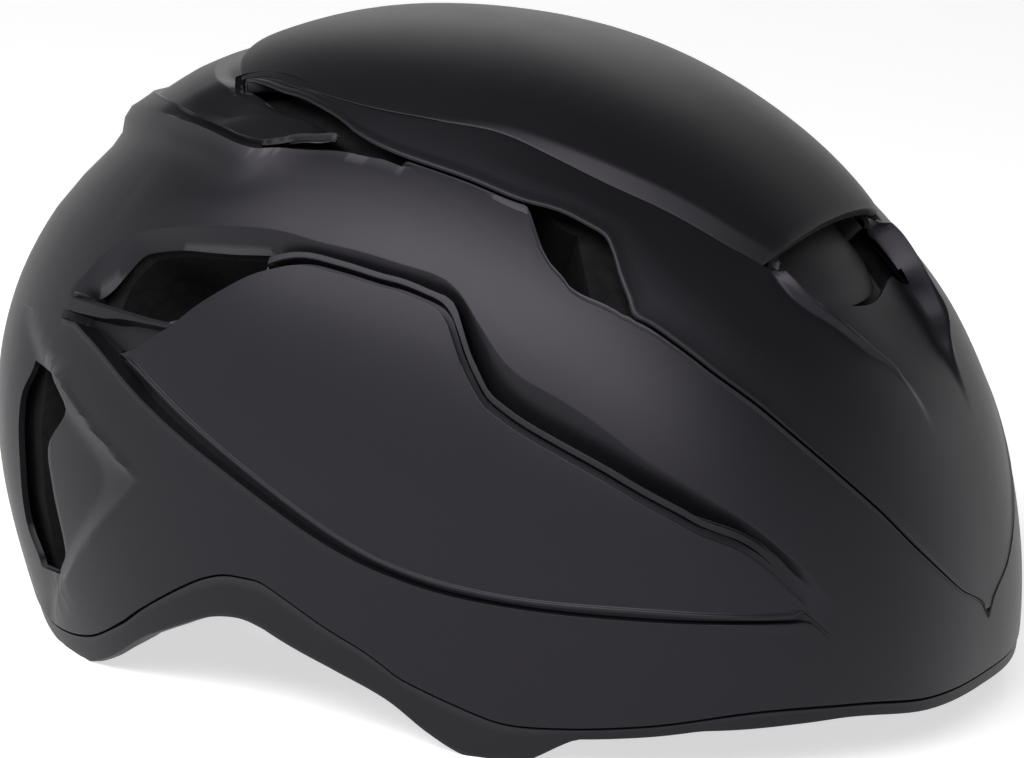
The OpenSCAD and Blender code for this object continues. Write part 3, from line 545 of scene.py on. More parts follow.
RIM = [
    (0, -13.2), (9, -13), (21, -12.6), (28, -13.2), (35, -14.2), (42, -15.2), (49, -16.5),
    (53, -18.5), (57, -21.4), (60, -23.4), (62, -23.8), (67, -23.4), (72, -21.6), (78, -18.5),
    (86, -16), (92, -14.2), (96, -12.8), (98.5, -11.8), (102, -11), (105.5, -11.2), (108.8, -12),
    (112.5, -13.5), (116.2, -15), (120.2, -16.7), (127, -20.3), (135, -22.4), (143, -21.4),
    (155, -18.8), (168, -16), (180, -15),
]
CROWN_W = [
    (-5.3, 1.9), (-2, 16.5), (3.3, 32.2), (8.7, 42.9), (13.8, 51.2), (19.2, 57.8), (24.6, 62.6),
    (30.2, 66.9), (36.2, 69.9), (40.9, 71.9), (43.3, 73.1), (45.6, 71.9), (49.4, 69.7), (52.8, 67),
    (55.1, 65.6), (57.7, 66.1), (62.3, 67.4), (68, 70.1), (74.5, 71), (84.7, 71.3), (91.7, 70),
    (96.6, 67.4), (99.5, 64.7), (103.3, 61.7), (106.8, 58.8), (110.2, 56.6), (113.9, 52.7), (117.3, 49.5),
]
COVER_W = [
    (-5.3, 1.2), (5, 10), (15, 15), (20, 17), (23, 20), (24.7, 24.5), (26.6, 27.1), (29.6, 30.1),
    (32.2, 33.5), (34.8, 35.8), (37, 36.4), (40, 37), (45, 42), (52, 47), (60, 52), (68, 55),
    (77, 57), (85, 60), (95, 60.5), (105, 57), (117, 48.6),
]
CHEEK_GAP = [
    (43.3, 0), (44.3, 1), (47.9, 4.5), (52.7, 9.7), (55.4, 10.6), (58.9, 9), (62.4, 6),
    (65.2, 1.8), (66.8, 0),
]
CROWN_FRONT = -6.0
CROWN_REAR = 117.3
CROWN_TAIL = 121
TAIL_HALF = 51
SEAM = 0.9
MM_PER_DEGREE = 2.15


def crown_bow(y):
    """How much further back than its corners the crown's rear edge lies, in degrees."""
    return CROWN_TAIL - 1.6 * (min(abs(y), 50) / 38) ** 3.5 - CROWN_REAR


def inside_crown(az, el):
    p = on_shell(az, el)
    a = math.degrees(math.atan2(p.z, p.x))
    reach = curve(CROWN_W, a) + SEAM + curve(CHEEK_GAP, a)
    if a > CROWN_REAR:
        reach = TAIL_HALF
    return CROWN_FRONT - SEAM / 2 < a < CROWN_REAR + crown_bow(p.y) + SEAM / 2 and abs(p.y) < reach


def crown_el(az):
    low, high = -16.0, 84.0
    for _ in range(18):
        middle = (low + high) / 2
        if inside_crown(az, middle):
            high = middle
        else:
            low = middle
    return high


def beside(line, az, distance):
    """Elevation of a line moved sideways by a distance in mm, up if positive."""
    step = 0.5
    slope = (curve(line, az + step) - curve(line, az - step)) / (2 * step)
    slope /= math.cos(math.radians(curve(line, az)))
    return curve(line, az) + distance / MM_PER_DEGREE * math.sqrt(1 + min(6.0, slope ** 2))


print("crown edge at the side", round(crown_el(90), 1), "degrees up")

# %% [markdown]
# ## From a flat grid to a moulded shell
# Each shell starts as a flat grid. Every vertex of the grid moves to its place on the surface, so
# rows of the grid lie along the style lines. Rows crowd at a corner of the section, which gives
# the corner its radius. Cells over an opening are deleted, then the sheet gets its wall.

# %% Sections with rounded corners
ARC = 4


def rounded(keys):
    """Rows of a section from (elevation, depth, corner radius, cells to the next key)."""
    flat = [Vector((k[0] * MM_PER_DEGREE, k[1])) for k in keys]
    rows = []
    for i, (_, _, radius, _) in enumerate(keys):
        here = flat[i]
        if radius is None or i in (0, len(keys) - 1):
            rows.append([here])
            continue
        before, after = flat[i - 1] - here, flat[i + 1] - here
        a = here + before * min(0.45, radius / max(before.length, 1e-6))
        b = here + after * min(0.45, radius / max(after.length, 1e-6))
        turn = []
        for k in range(ARC):
            t = k / (ARC - 1)
            turn.append(a * (1 - t) ** 2 + here * 2 * t * (1 - t) + b * t ** 2)
        rows.append(turn)
    points, starts = [], []
    for i, turn in enumerate(rows):
        starts.append(len(points))
        points += turn
        if i + 1 < len(rows):
            cells = keys[i][3]
            points += [turn[-1].lerp(rows[i + 1][0], k / cells) for k in range(1, cells)]
    return [(p.x / MM_PER_DEGREE, p.y) for p in points], starts


def shaped_grid(columns, rows, place, opening=None, loop=False):
    """A bmesh of a grid whose vertex (i, j) stands at place(i, j), with the openings cut."""
    bm = bmesh.new()
    bmesh.ops.create_grid(bm, x_segments=columns, y_segments=rows, size=0.5)
    at = {v: (round((v.co.x + 0.5) * columns), round((0.5 - v.co.y) * rows)) for v in bm.verts}
    if opening:
        cut = []
        for face in bm.faces:
            i = min(at[v][0] for v in face.verts)
            j = min(at[v][1] for v in face.verts)
            if opening(i, j):
                cut.append(face)
    for v, (i, j) in at.items():
        v.co = (HEAD + place(i % columns if loop else i, j)) * MM
    if opening:
        bmesh.ops.delete(bm, geom=cut, context="FACES")
    bmesh.ops.remove_doubles(bm, verts=bm.verts[:], dist=0.005 * MM)
    bmesh.ops.dissolve_degenerate(bm, edges=bm.edges[:], dist=0.02 * MM)
    return bm


def face_outwards(bm):
    bmesh.ops.recalc_face_normals(bm, faces=bm.faces[:])
    outwards = sum(f.normal.dot(f.calc_center_median() - HEAD * MM) * f.calc_area() for f in bm.faces)
    if outwards < 0:
        bmesh.ops.reverse_faces(bm, faces=bm.faces[:])


def walled(bm, wall, edge=0.35):
    """Gives an open sheet its wall, inwards, and rounds the edges of its rims.

    Where cells are narrow, solidify can throw a point far out. Each new point knows its twin on
    the outside, so such a point is put back one wall below it.
    """
    face_outwards(bm)
    mark = bm.verts.layers.int.new("rim")
    twin = bm.verts.layers.int.new("twin")
    bm.normal_update()
    for k, v in enumerate(bm.verts):
        v[mark] = int(v.is_boundary)
        v[twin] = k
    outside = [(v.co.copy(), v.normal.copy()) for v in bm.verts]
    outer = set(bm.verts)
    bmesh.ops.solidify(bm, geom=bm.faces[:], thickness=wall * MM)
    mark = bm.verts.layers.int["rim"]
    twin = bm.verts.layers.int["twin"]
    inner = [v for v in bm.verts if v not in outer]
    for v in inner:
        co, normal = outside[v[twin]]
        if (v.co - co).length > 2 * wall * MM:
            v.co = co - normal * wall * MM
    # In the mesh's own order, since a set's order changes from run to run
    inside = [v for v in inner if not v[mark]]
    within = set(inside)
    plain = [e for e in bm.edges if all(v in within for v in e.verts)]
    bmesh.ops.dissolve_limit(bm, angle_limit=math.radians(3), verts=inside, edges=plain)
    sharp = math.radians(45)
    rims = [
        e for e in bm.edges
        if len(e.link_faces) == 2 and all(v[mark] for v in e.verts) and e.calc_face_angle(0) > sharp
    ]
    if edge:
        bmesh.ops.bevel(
            bm, geom=rims, offset=edge * MM, affect="EDGES", segments=2, profile=0.5,
            material=-1, clamp_overlap=True,
        )
    return bm


def mesh_of(bm, name):
    mesh = bpy.data.meshes.new(name)
    bm.to_mesh(mesh)
    bm.free()
    return mesh


def finished(bm, name, material, body="root", stands_for=(), sharp_angle=28):
    """Turns a bmesh into a piece of the helmet."""
    for f in bm.faces:
        f.smooth = True
    sharp = math.radians(sharp_angle)
    for e in bm.edges:
        e.smooth = len(e.link_faces) == 2 and e.calc_face_angle(0) < sharp
    mesh = mesh_of(bm, name)
    mesh.materials.append(material)
    piece = placed(name, mesh)
    weigh = piece.modifiers.new("weigh", "WEIGHTED_NORMAL")
    weigh.weight = 100
    weigh.keep_sharp = True
    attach(piece, body)
    if stands_for:
        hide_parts(*stands_for)
    mesh.calc_loop_triangles()
    print(name, len(mesh.loop_triangles), "triangles")
    return piece


# %% [markdown]
# ## Lower shell
# On the real helmet this is one long thermoformed skin: it runs round the head, carries the
# shoulder, the rear deck and the side recess with its black vent, and ends at the rim band.
# A section at each azimuth lists its corners from the crown's edge down. Behind, a flat facet
# leads the air into the upright rear slot.

# %% Azimuths of the lower shell
def spread(stops):
    """Values from the first stop to the last, each stop being (value, step from there on)."""
    values = []
    for (a, step), (b, _) in zip(stops, stops[1:]):
        count = max(1, round((b - a) / step))
        values += [a + (b - a) * k / count for k in range(count)]
    return values + [stops[-1][0]]


HALF_TURN = spread([
    (0, 1.5), (24, 0.9), (60, 0.75), (76, 1.2), (98, 0.75), (116, 0.55), (134, 0.4), (140, 0.6),
    (150, 1.5), (180, 0),
])


def whole_turn(half):
    return half + [360 - a for a in half[-2:0:-1]]


TURN = whole_turn(HALF_TURN)
WALL = 1.8
VENT_FRONT = 106
VENT_REAR = 136.5
SLOT_FRONT = 136
SLOT_REAR = 145.5
SLOT_HIGH = 14
SLOT_LOW = -12
SLOT_FRONT_LINE = [(-12, 139), (-8.5, 136.6), (0, 138), (5, 138.7), (10.7, 135.4), (14, 138.5)]
SLOT_REAR_LINE = [(-12, 144), (-7, 145.8), (1, 145.5), (9, 145.5), (14, 143.5)]
FACET_TIP = (119.5, 5.3)
FACET_HIGH = (137.4, 14.4)
FACET_LOW = (129.4, -5.2)
FACET_DEPTH = 2.5
print("stations", len(TURN))

# %% Relief of the lower shell
def facet_depth(az, el):
    """Depth of the flat facet in front of the rear slot, less the rib along each of its creases."""
    def beyond(end, flip):
        ux, uy = end[0] - FACET_TIP[0], end[1] - FACET_TIP[1]
        long = math.hypot(ux, uy)
        across = flip * ((az - FACET_TIP[0]) * uy - (el - FACET_TIP[1]) * ux) / long
        along = ((az - FACET_TIP[0]) * ux + (el - FACET_TIP[1]) * uy) / long ** 2
        rib = math.exp(-((across * MM_PER_DEGREE + 0.5) / 1.1) ** 2) * bell(0, 0.15, 0.9, 1.1, along)
        return across, rib

    high, high_rib = beyond(FACET_HIGH, 1)
    low, low_rib = beyond(FACET_LOW, -1)
    depth = -0.4 * high_rib - 0.18 * low_rib
    if high > 0 and low > 0:
        inside = high * low / (high + low) * MM_PER_DEGREE
        depth += min(FACET_DEPTH, 0.5 * inside) * (1 - ease(SLOT_FRONT + 1, SLOT_REAR + 6, az))
    return depth


def side_keys(az, recess):
    """The recess, its bead or the strut, the panel's bed and the groove below the panel."""
    relief = bell(25, 30, 137.4, 138.6, az)
    bead = bell(31, 36, 104.6, 106.2, az)
    late = ease(104.6, 106.2, az)
    behind = ease(117.6, 118.6, az)
    over = ease(122.5, 126, az)
    strut_deep = curve(STRUT_DEEP, az)
    rib_out = mix(beside(PANEL_TOP, az, 2.9), beside(PANEL_TOP, az, 0.8), late)
    rib_out = mix(rib_out, curve(STRUT, az), behind)
    rib_out = min(rib_out, recess - 0.35)
    rib_in = mix(beside(PANEL_TOP, az, 1.2), beside(PANEL_TOP, az, 0.5), late)
    rib_in = mix(rib_in, rib_out - strut_deep, behind)
    rib_in = min(rib_in, rib_out - 0.2)
    gap_in = min(beside(PANEL_TOP, az, mix(-0.8, 0, behind)), rib_in - 0.35)
    wide = (recess - rib_out) * MM_PER_DEGREE
    deep = min(5.5, 0.85 * wide)
    rib_depth = mix(mix(deep, 0.1, bead), 3.3, late)
    rib_depth = mix(rib_depth, 0.1, behind)
    foot_depth = mix(mix(deep, 3.4, late), 0.35, behind)
    foot = rib_out + min(0.25, 0.3 * (recess - rib_out))
    on_vent = ease(104, 106, az)
    hood = mix(mix(recess, foot, 0.5), max(curve(VENT_TOP, az), foot + 0.3), on_vent)
    hood = min(hood, mix(recess, foot, 0.15))
    hood_depth = mix(0.5 * deep, 4.6, on_vent)
    pocket = mix(3.0, 5.5, ease(119.4, 121.5, az)) if az > 110 else mix(deep, 3.0, bead)
    bed = mix(2.55, 5.5, over)
    panel_low = min(curve(PANEL_LOW, az), gap_in - 0.5)
    groove = min(curve(GROOVE, az), panel_low - 0.35)
    groove_depth = curve([(24, 0), (28, 1.6), (60, 2.2), (90, 3), (120, 4), (126, 5.5), (137, 5.5)], az)
    lip = 0.3 * relief
    return [
        (recess, 0, 0.4, 4),
        (hood, hood_depth * relief, None, 5),
        (foot, foot_depth * relief, 0.35, 1),
        (rib_out, rib_depth * relief, 0.3, 1),
        (rib_in, rib_depth * relief, 0.3, 1),
        (rib_in - 0.08, pocket * relief, None, 1),
        (gap_in, pocket * relief, None, 1),
        (mix(gap_in, panel_low, 0.2), bed * relief, None, 2),
        (mix(gap_in, panel_low, 0.85), bed * relief, None, 1),
        (panel_low - 0.06, groove_depth * relief, None, 1),
        (groove + 0.1, groove_depth * relief, None, 1),
        (groove, -lip, 0.25, 1),
        (groove - 0.4, -lip, 0.25, 1),
        (groove - 1.0, 0, None, 4),
    ]


def deck_keys(az, top, recess):
    """The edge under the crown, and behind it the deck with its tongue, lip and crest."""
    back = ease(60, 82, az)
    sink = ease(85.2, 87, az)
    rear = ease(132, 146, az)
    span = top - recess
    deck_edge = mix(top - 0.04 * span, min(curve(DECK_EDGE, az), top - 0.25), back)
    lens_top = mix(top - 0.1 * span, min(curve(LENS_TOP, az), deck_edge - 0.15), back)
    lip = mix(top - 0.16 * span, min(curve(LIP, az), lens_top - 0.15), back)
    crest = mix(top - 0.25 * span, min(curve(CREST, az), lip - 0.3), back)
    lift = curve(CREST_LIFT, az) * sink
    fall = crest - recess
    bead = min(0.8 / MM_PER_DEGREE, 0.02 * span)
    floor = mix(3.0, 2.5, rear) * sink
    above = mix(deck_edge, lens_top, 0.3)
    return [
        (top, mix(-0.3, 2.9, sink) + 1.6, None, 1),
        (top, mix(-0.3, 2.9, sink), None, 1),
        (mix(top - bead, mix(top, deck_edge, 0.5), back), mix(-0.3, 2.9, sink), None, 1),
        (deck_edge, floor, None, 2),
        (above, mix(2.5 * sink, 0.3, rear), 0.5, 3),
        (lens_top, mix(2.2, -0.8, rear) * sink, 0.6, 3),
        (mix(lens_top, lip, 0.9), mix(0.5, -1.4, rear) * sink, None, 1),
        (lip, mix(-0.5, -2.9, rear) * sink, None, 2),
        (mix(lip, crest, 0.2), mix(0.9, -2.9, rear) * sink, None, 1),
        (mix(lip, crest, 0.8), (mix(0.9, -3.3, rear) - mix(0, 0.6 * lift, 1 - rear)) * sink, None, 1),
        (crest, -lift, None, 1),
        (crest - min(0.14 * fall, 1.5), -0.72 * lift, None, 1),
        (crest - min(0.28 * fall, 3), 0, None, 1),
        (crest - min(0.45 * fall, 5), 0.25 * lift, None, 2),
        (mix(crest, recess, 0.7), 0, None, 3),
    ]


# Places of some keys in the section's list
DECK_KEY, LIP_KEY, CREST_KEY = 3, 8, 9
RECESS_KEY, HOOD_KEY, FOOT_KEY, BED_KEY, GROOVE_KEY = 15, 16, 17, 22, 26
SLOT_TOP_KEY, SLOT_FOOT_KEY, LOW_KEY = 29, 30, 31


def lower_keys(az):
    top = crown_el(az)
    recess = min(curve(RECESS, az), top - 1.0)
    upper = deck_keys(az, top, recess) + side_keys(az, recess)
    under = upper[-1][0]
    low = curve(SHELL_LOW, az)
    far = ease(116, 134, az)
    return upper + [
        (mix(under, low, mix(0.25, (under - SLOT_HIGH) / (under - low), far)), 0, None, 30),
        (mix(under, low, mix(0.75, (under - SLOT_LOW) / (under - low), far)), 0, None, 4),
        (low, 0, 0.6, 1),
        (low, 1.6, None, 1),
    ]


lower_sections = [rounded(lower_keys(side_az(a))) for a in TURN]
key_rows = lower_sections[0][1]
ROW_COUNT = len(lower_sections[0][0]) - 1
print("rows", ROW_COUNT)

# %% The lower shell's mesh
def lower_place(i, j):
    nominal = side_az(TURN[i])
    el, depth = lower_sections[i][0][j]
    az = nominal
    if 116 < nominal < 166 and el < 17:
        hold = 1 - ease(SLOT_HIGH, 17, el)
        hold *= 1 - ease(SLOT_LOW, SLOT_LOW - 5, el) if el < SLOT_LOW else 1
        front = curve(SLOT_FRONT_LINE, el) - SLOT_FRONT
        rear = curve(SLOT_REAR_LINE, el) - SLOT_REAR
        if nominal < SLOT_FRONT:
            az += hold * front * ease(118, SLOT_FRONT, nominal)
        elif nominal < SLOT_REAR:
            az += hold * mix(front, rear, (nominal - SLOT_FRONT) / (SLOT_REAR - SLOT_FRONT))
        else:
            az += hold * rear * (1 - ease(SLOT_REAR, 164, nominal))
    if key_rows[SLOT_TOP_KEY] - 6 < j < ROW_COUNT - 4:
        depth += facet_depth(az, el)
    return on_shell(az if TURN[i] <= 180 else -az, el, depth)


def column_az(turn, i):
    """Azimuth of the middle of a column, counted from the front on either side."""
    return (side_az(turn[i]) + side_az(turn[(i + 1) % len(turn)])) / 2


# Openings of the lower shell: from which key to which, and from which azimuth to which
LOWER_OPENINGS = [
    (0, DECK_KEY, 86, 143),
    (DECK_KEY, LIP_KEY, 86, 103.5),
    (LIP_KEY, CREST_KEY, 86, 119),
    (HOOD_KEY, FOOT_KEY, VENT_FRONT, VENT_REAR),
    (SLOT_TOP_KEY, SLOT_FOOT_KEY, SLOT_FRONT, SLOT_REAR),
]


def lower_opening(i, j):
    az = column_az(TURN, i)
    return any(
        key_rows[top] <= j < key_rows[foot] and front < az < rear
        for top, foot, front, rear in LOWER_OPENINGS
    )


lower_shell = finished(
    walled(shaped_grid(len(TURN), ROW_COUNT, lower_place, lower_opening, loop=True), WALL),
    "lower_shell_skin", shell_finish, stands_for=["lower_shell"],
)

# %% [markdown]
# ## Crown shell
# The upper leaf covers the crown and runs down to a point at the front. It carries the cover in
# a shallow bed, the scoop in front of the vent, and a raised ridge on each side of the scoop.
# Its grid runs along the profile one way and across the helmet the other way.

# %% The crown shell's mesh
VENT_A = 30.2
VENT_REAR_A = 59
VENT_W = 30
LIP_A = 40.1
BED = 3.4
SCOOP = 6.4
CROWN_WALL = 1.3
CROWN_A = spread([
    (CROWN_FRONT + 0.5, 0.7), (8, 1.2), (20, 0.8), (VENT_A, 0.8), (70, 1.6), (100, 1.0),
    (CROWN_REAR - 0.6, 0.3), (CROWN_REAR, 0),
])


def trough_half(c):
    return max(min(VENT_W, c - 3.5), 0.55 * c)


def crown_keys(a):
    """Section across the crown, from its edge to the middle, as (distance, depth, radius, cells)."""
    w = curve(CROWN_W, a)
    c = min(curve(COVER_W, a), max(w - 1.4, 0.6 * w))
    front = ease(LIP_A - 2, LIP_A, a)
    step = 2.2 * bell(24, 36, 58, 84, a)
    ridge = 0.9 * bell(20, 26, 36, 40, a)
    scoop = SCOOP * ease(13, VENT_A, a) ** 1.5 * (1 - front)
    bed = BED * front + scoop
    trough_w = trough_half(c)
    lift = 0.3 * ease(-4, 4, a)
    near = min(1.0, w / 12, (w - c) / 3.2, c / 8)
    return [
        (w, 0.5 - lift, None, 1),
        (w, -lift, 0.3, 1),
        (w - 0.9 * near, -lift, None, 1),
        (w - 1.9 * near, 0, None, 3),
        (mix(w - 2 * near, c + 0.7 * near, 0.3), 0.1 * step, None, 5),
        (mix(w - 2 * near, c + 0.7 * near, 0.65), step * 0.55, None, 5),
        (c + 0.6 * near, step * 0.95, 0.8, 1),
        (c - 0.2 * near, step - ridge * 2.1 + 0.3 * front, 0.5, 1),
        (c - 1.4 * near, mix(-ridge, bed, front), 0.7, 2),
        (min(trough_w, c - 3 * near), bed * 0.97, 1.5, 2),
        (min(trough_w, c - 3 * near) * 0.85, bed, None, 6),
        (0, bed, None, 1),
    ]


def across(keys):
    """Rows from edge to edge, from the keys of one half, whose first number is mm from the middle."""
    points, _ = rounded([(k[0] / MM_PER_DEGREE, *k[1:]) for k in keys])
    half = [(p[0] * MM_PER_DEGREE, p[1]) for p in points]
    return [(-y, d) for y, d in half] + [(y, d) for y, d in half[-2::-1]]


crown_sections = [across(crown_keys(a)) for a in CROWN_A]
CROWN_ACROSS = len(crown_sections[0]) - 1


def crown_place(i, j):
    a = CROWN_A[i]
    y, depth = crown_sections[i][j]
    near = math.exp(-((a - VENT_A) / 5) ** 2)
    bow = 2.0 * ease(0, 24, abs(y)) * (1 - ease(23, 29, abs(y)))
    if a > CROWN_REAR - 2.5:
        depth += 2.4 * ease(CROWN_REAR - 1.0, CROWN_REAR, a) ** 2
    return on_top(a + near * bow + crown_bow(y) * ease(96, CROWN_REAR, a), y, depth)


def crown_opening(i, j):
    a = (CROWN_A[i] + CROWN_A[min(i + 1, len(CROWN_A) - 1)]) / 2
    y = (crown_sections[i][j][0] + crown_sections[i][j + 1][0]) / 2
    return VENT_A <= a < VENT_REAR_A and abs(y) < trough_half(curve(COVER_W, a)) - 0.1


crown_shell = finished(
    walled(shaped_grid(len(CROWN_A) - 1, CROWN_ACROSS, crown_place, crown_opening), CROWN_WALL, 0.25),
    "crown_shell_skin", shell_finish, stands_for=["crown_shell"],
)

# %% [markdown]
# ## Top cover
# A smooth cover lies over the middle of the crown. Its side edge is a chamfer that grows wider
# to the front, where it catches the light, and its front lip hangs over the vent.

# %% The top cover's mesh
COVER_T = 2.4
COVER_LONG = 77.5
COVER_SPREAD = spread([
    (0, 0.12), (0.36, 0.5), (2, 1.2), (COVER_LONG - 7, 1.2), (COVER_LONG - 3, 0.5),
    (COVER_LONG - 0.5, 0.15), (COVER_LONG, 0),
])


def cover_keys(a):
    w = curve(COVER_W, a)
    chamfer = mix(0.9, 4.2, bell(30, 44, 52, 88, a))
    step = 2.0 * bell(24, 36, 58, 84, a) + mix(0.25, 0.02, ease(80, 90, a))
    proud = 0.7 * (1 - ease(40, 60, a))
    return [
        (w - 1.2, step + 2.2, None, 1),
        (w - 0.3, step + 0.5, 0.5, 1),
        (w, step, 0.4, 2),
        (w - chamfer, 0.05, 0.8, 3),
        (w * 0.72, -proud, None, 5),
        (w * 0.36, -proud, None, 5),
        (0, -proud, None, 1),
    ]


cover_sections = [across(cover_keys(LIP_A + s)) for s in COVER_SPREAD]
COVER_ACROSS = len(cover_sections[0]) - 1


def cover_place(i, j):
    s = COVER_SPREAD[i]
    y, depth = cover_sections[i][j]
    lip = (0.9 - 1.1 * (min(abs(y), 37) / 36) ** 2) * (1 - ease(0, 24, s))
    tail = crown_bow(y) * ease(96, CROWN_REAR, LIP_A + s)
    curl = 2.4 * (1 - ease(0, 0.5, s)) ** 2 + 0.5 * (1 - ease(0, 2.6, s)) ** 2
    curl += 2.4 * ease(COVER_LONG - 0.5, COVER_LONG, s) ** 2
    return on_top(LIP_A + s + lip + tail, y, depth + curl)


top_cover = finished(
    walled(shaped_grid(len(COVER_SPREAD) - 1, COVER_ACROSS, cover_place), COVER_T),
    "top_cover_skin", cover_finish, stands_for=["top_cover"],
)

# %% [markdown]
# ## Side panels
# The leaf panel is a separate satin skin that snaps in the recess. Its edge is turned in all
# round, which leaves a thin highlight along the groove.

# %% Side panel meshes
PANEL_WALL = 1.2
PANEL_AZ = spread([(28.4, 0.25), (30, 0.9), (60, 0.6), (76, 1.0), (104, 0.6), (124, 0.25), (125.6, 0)])


def panel_rows(az):
    top = beside(PANEL_TOP, az, -0.8)
    low = curve(PANEL_LOW, az)
    middle = (top + low) / 2
    top, low = max(top, middle + 0.02), min(low, middle - 0.02)
    wide = (top - low) * MM_PER_DEGREE
    inset = min(1.0, 0.2 * wide) / MM_PER_DEGREE
    rib = 0.45 * ease(2, 6, wide)
    keys = [
        (top, 1.9, None, 1),
        (top, -0.35, 0.5, 1),
        (mix(top, low, 0.1), -0.4, None, 12),
        (low + 3.2 * inset, -0.3, None, 2),
        (low + 1.4 * inset, -0.2, 0.5, 1),
        (low + inset, -0.3 - rib, 0.4, 1),
        (low, -0.3 - rib, 0.5, 1),
        (low, 1.9, None, 1),
    ]
    return rounded(keys)[0]


panel_sections = [panel_rows(a) for a in PANEL_AZ]


def panel_maker(side):
    def place(i, j):
        el, depth = panel_sections[i][j]
        return on_shell(side * PANEL_AZ[i], el, depth)
    return place


for side, name in ((1, "left"), (-1, "right")):
    sheet = shaped_grid(len(PANEL_AZ) - 1, len(panel_sections[0]) - 1, panel_maker(side))
    finished(
        walled(sheet, PANEL_WALL, 0.2), f"side_panel_skin_{name}", panel_finish,
        stands_for=[f"side_panel_{name}"],
    )

# %% [markdown]
# ## Rim band
# The rim band closes the lower edge. It is a thick lip that turns in under the foam, and its
# four lobes carry the helmet where it stands.

# %% The rim band's mesh
RIM_GAP = 0.3
RIM_WALL = 1.4
RIM_LEDGE = 2.2
RIM_FOOT = 12
RIM_RISE = Vector((0, 0, 0.42))


def on_floor(p):
    return Vector((p.x, p.y, max(p.z, -HEAD.z)))


def rim_section(a):
    az = side_az(a)
    high = curve(SHELL_LOW, az) - RIM_GAP
    low = min(curve(RIM, az), high - 1.1)
    inward = Vector((-math.cos(math.radians(a)), -math.sin(math.radians(a)), 0))
    edge = on_shell(a, low, 0.4)
    out = on_shell(a, high, 0.35)
    points = [on_shell(a, high, 2.6), on_shell(a, high, 0.9), out]
    points += [on_floor(out.lerp(edge, t)) for t in (0.3, 0.6, 0.85)]
    ledge = edge + inward * RIM_LEDGE - Vector((0, 0, 0.15))
    points += [on_floor(edge.lerp(ledge, t)) for t in (0, 0.35, 1)]
    foot = on_floor(edge)
    widths = (5, 8.5, RIM_FOOT - 0.8, RIM_FOOT)
    points += [foot + inward * d + RIM_RISE * (d - RIM_LEDGE) for d in widths]
    points += [foot + inward * RIM_FOOT + RIM_RISE * (RIM_FOOT - RIM_LEDGE + h) for h in (1.4, 4.8)]
    return points


rim_sections = [rim_section(a) for a in TURN]
rim_sheet = shaped_grid(len(TURN), len(rim_sections[0]) - 1, lambda i, j: rim_sections[i][j], loop=True)
finished(walled(rim_sheet, RIM_WALL, 0), "rim_band_skin", rim_finish, stands_for=["rim_band"])

# %% [markdown]
# ## Foam liner
# The liner is a thick block of fused beads between the shells and the head. It is made from two
# grids of the same layout, one under the shells and one on the head's room. The edge of each
# opening in one grid is bridged to the edge that lies in the same direction in the other.

# %% The foam liner's mesh
LINER_TURN = whole_turn(spread([(0, 2), (96, 1.5), (150, 2), (180, 0)]))
HOLE_TOP = 76
DUCT_AZ = 18
CROWN_ROWS = 14
# Openings of the liner (duct, cheek vent, side vent and slot): rows, and azimuths
LINER_OPENINGS = [
    (range(4, 12), -1, DUCT_AZ),
    (range(12, 14), 49, 61),
    (range(18, 19), 102, 133),
    (range(25, 28), 136, 144.5),
]


def liner_depth_on_crown(p):
    a = math.degrees(math.atan2(p.z, p.x))
    hollow = 8 * (1 - ease(30, 44, abs(p.y))) * ease(12, 22, a) * (1 - ease(112, 120, a))
    return 3.4 + WALL + 1.2 + 2.2 + hollow


def liner_rows(a):
    az = side_az(a)
    keys = lower_keys(az)
    top, recess = keys[0][0], keys[RECESS_KEY][0]
    hood, hood_depth = keys[HOOD_KEY][:2]
    groove, low = keys[GROOVE_KEY][0], keys[LOW_KEY][0]
    back = WALL + 1.1
    base = mix(crown_el(0), top, ease(DUCT_AZ, DUCT_AZ + 8, az)) + 1.5
    rows = []
    for k in range(CROWN_ROWS):
        t = 1 - k / 16
        el = max(mix(base, HOLE_TOP, t), top + 1.5 + 8 * t)
        rows.append((el, liner_depth_on_crown(on_shell(a, el))))
    rows.append((top, max(keys[1][1] + back, 3.5 + 4.5 * ease(82, 90, az))))
    rows += [(mix(top, recess, t), 1.0 + back) for t in (0.3, 0.65)]
    rows += [(recess, back), (hood, hood_depth + back), (keys[FOOT_KEY][0], hood_depth + back)]
    rows += [(mix(keys[BED_KEY][0], groove, t), 2.9 + back) for t in (0, 0.25, 0.5, 0.75)]
    rows.append((groove, 2.3 + back))
    lead = FACET_DEPTH * ease(116, SLOT_FRONT, az) * (1 - ease(SLOT_REAR, 160, az))
    slot_top, slot_foot = keys[SLOT_TOP_KEY][0], keys[SLOT_FOOT_KEY][0]
    rows += [(mix(slot_top, slot_foot, t), back + lead) for t in (0, 0.33, 0.66, 1)]
    rows += [(low + 0.6, back + 0.4 * lead), (min(curve(RIM, az) + 2.4, low - 0.2), 3.4)]
    return rows


liner_sections = [liner_rows(a) for a in LINER_TURN]
LINER_ROWS = len(liner_sections[0]) - 1


def liner_opening(i, j):
    az = column_az(LINER_TURN, i)
    return any(j in rows and front < az < rear for rows, front, rear in LINER_OPENINGS)


def liner_sheet(surface):
    return shaped_grid(len(LINER_TURN), LINER_ROWS, surface, liner_opening, loop=True)


def liner_outside(i, j):
    el, depth = liner_sections[i][j]
    return on_shell(LINER_TURN[i], el, depth)


def liner_inside(i, j):
    el, _ = liner_sections[i][j]
    return on_cavity(LINER_TURN[i], el, -0.6)


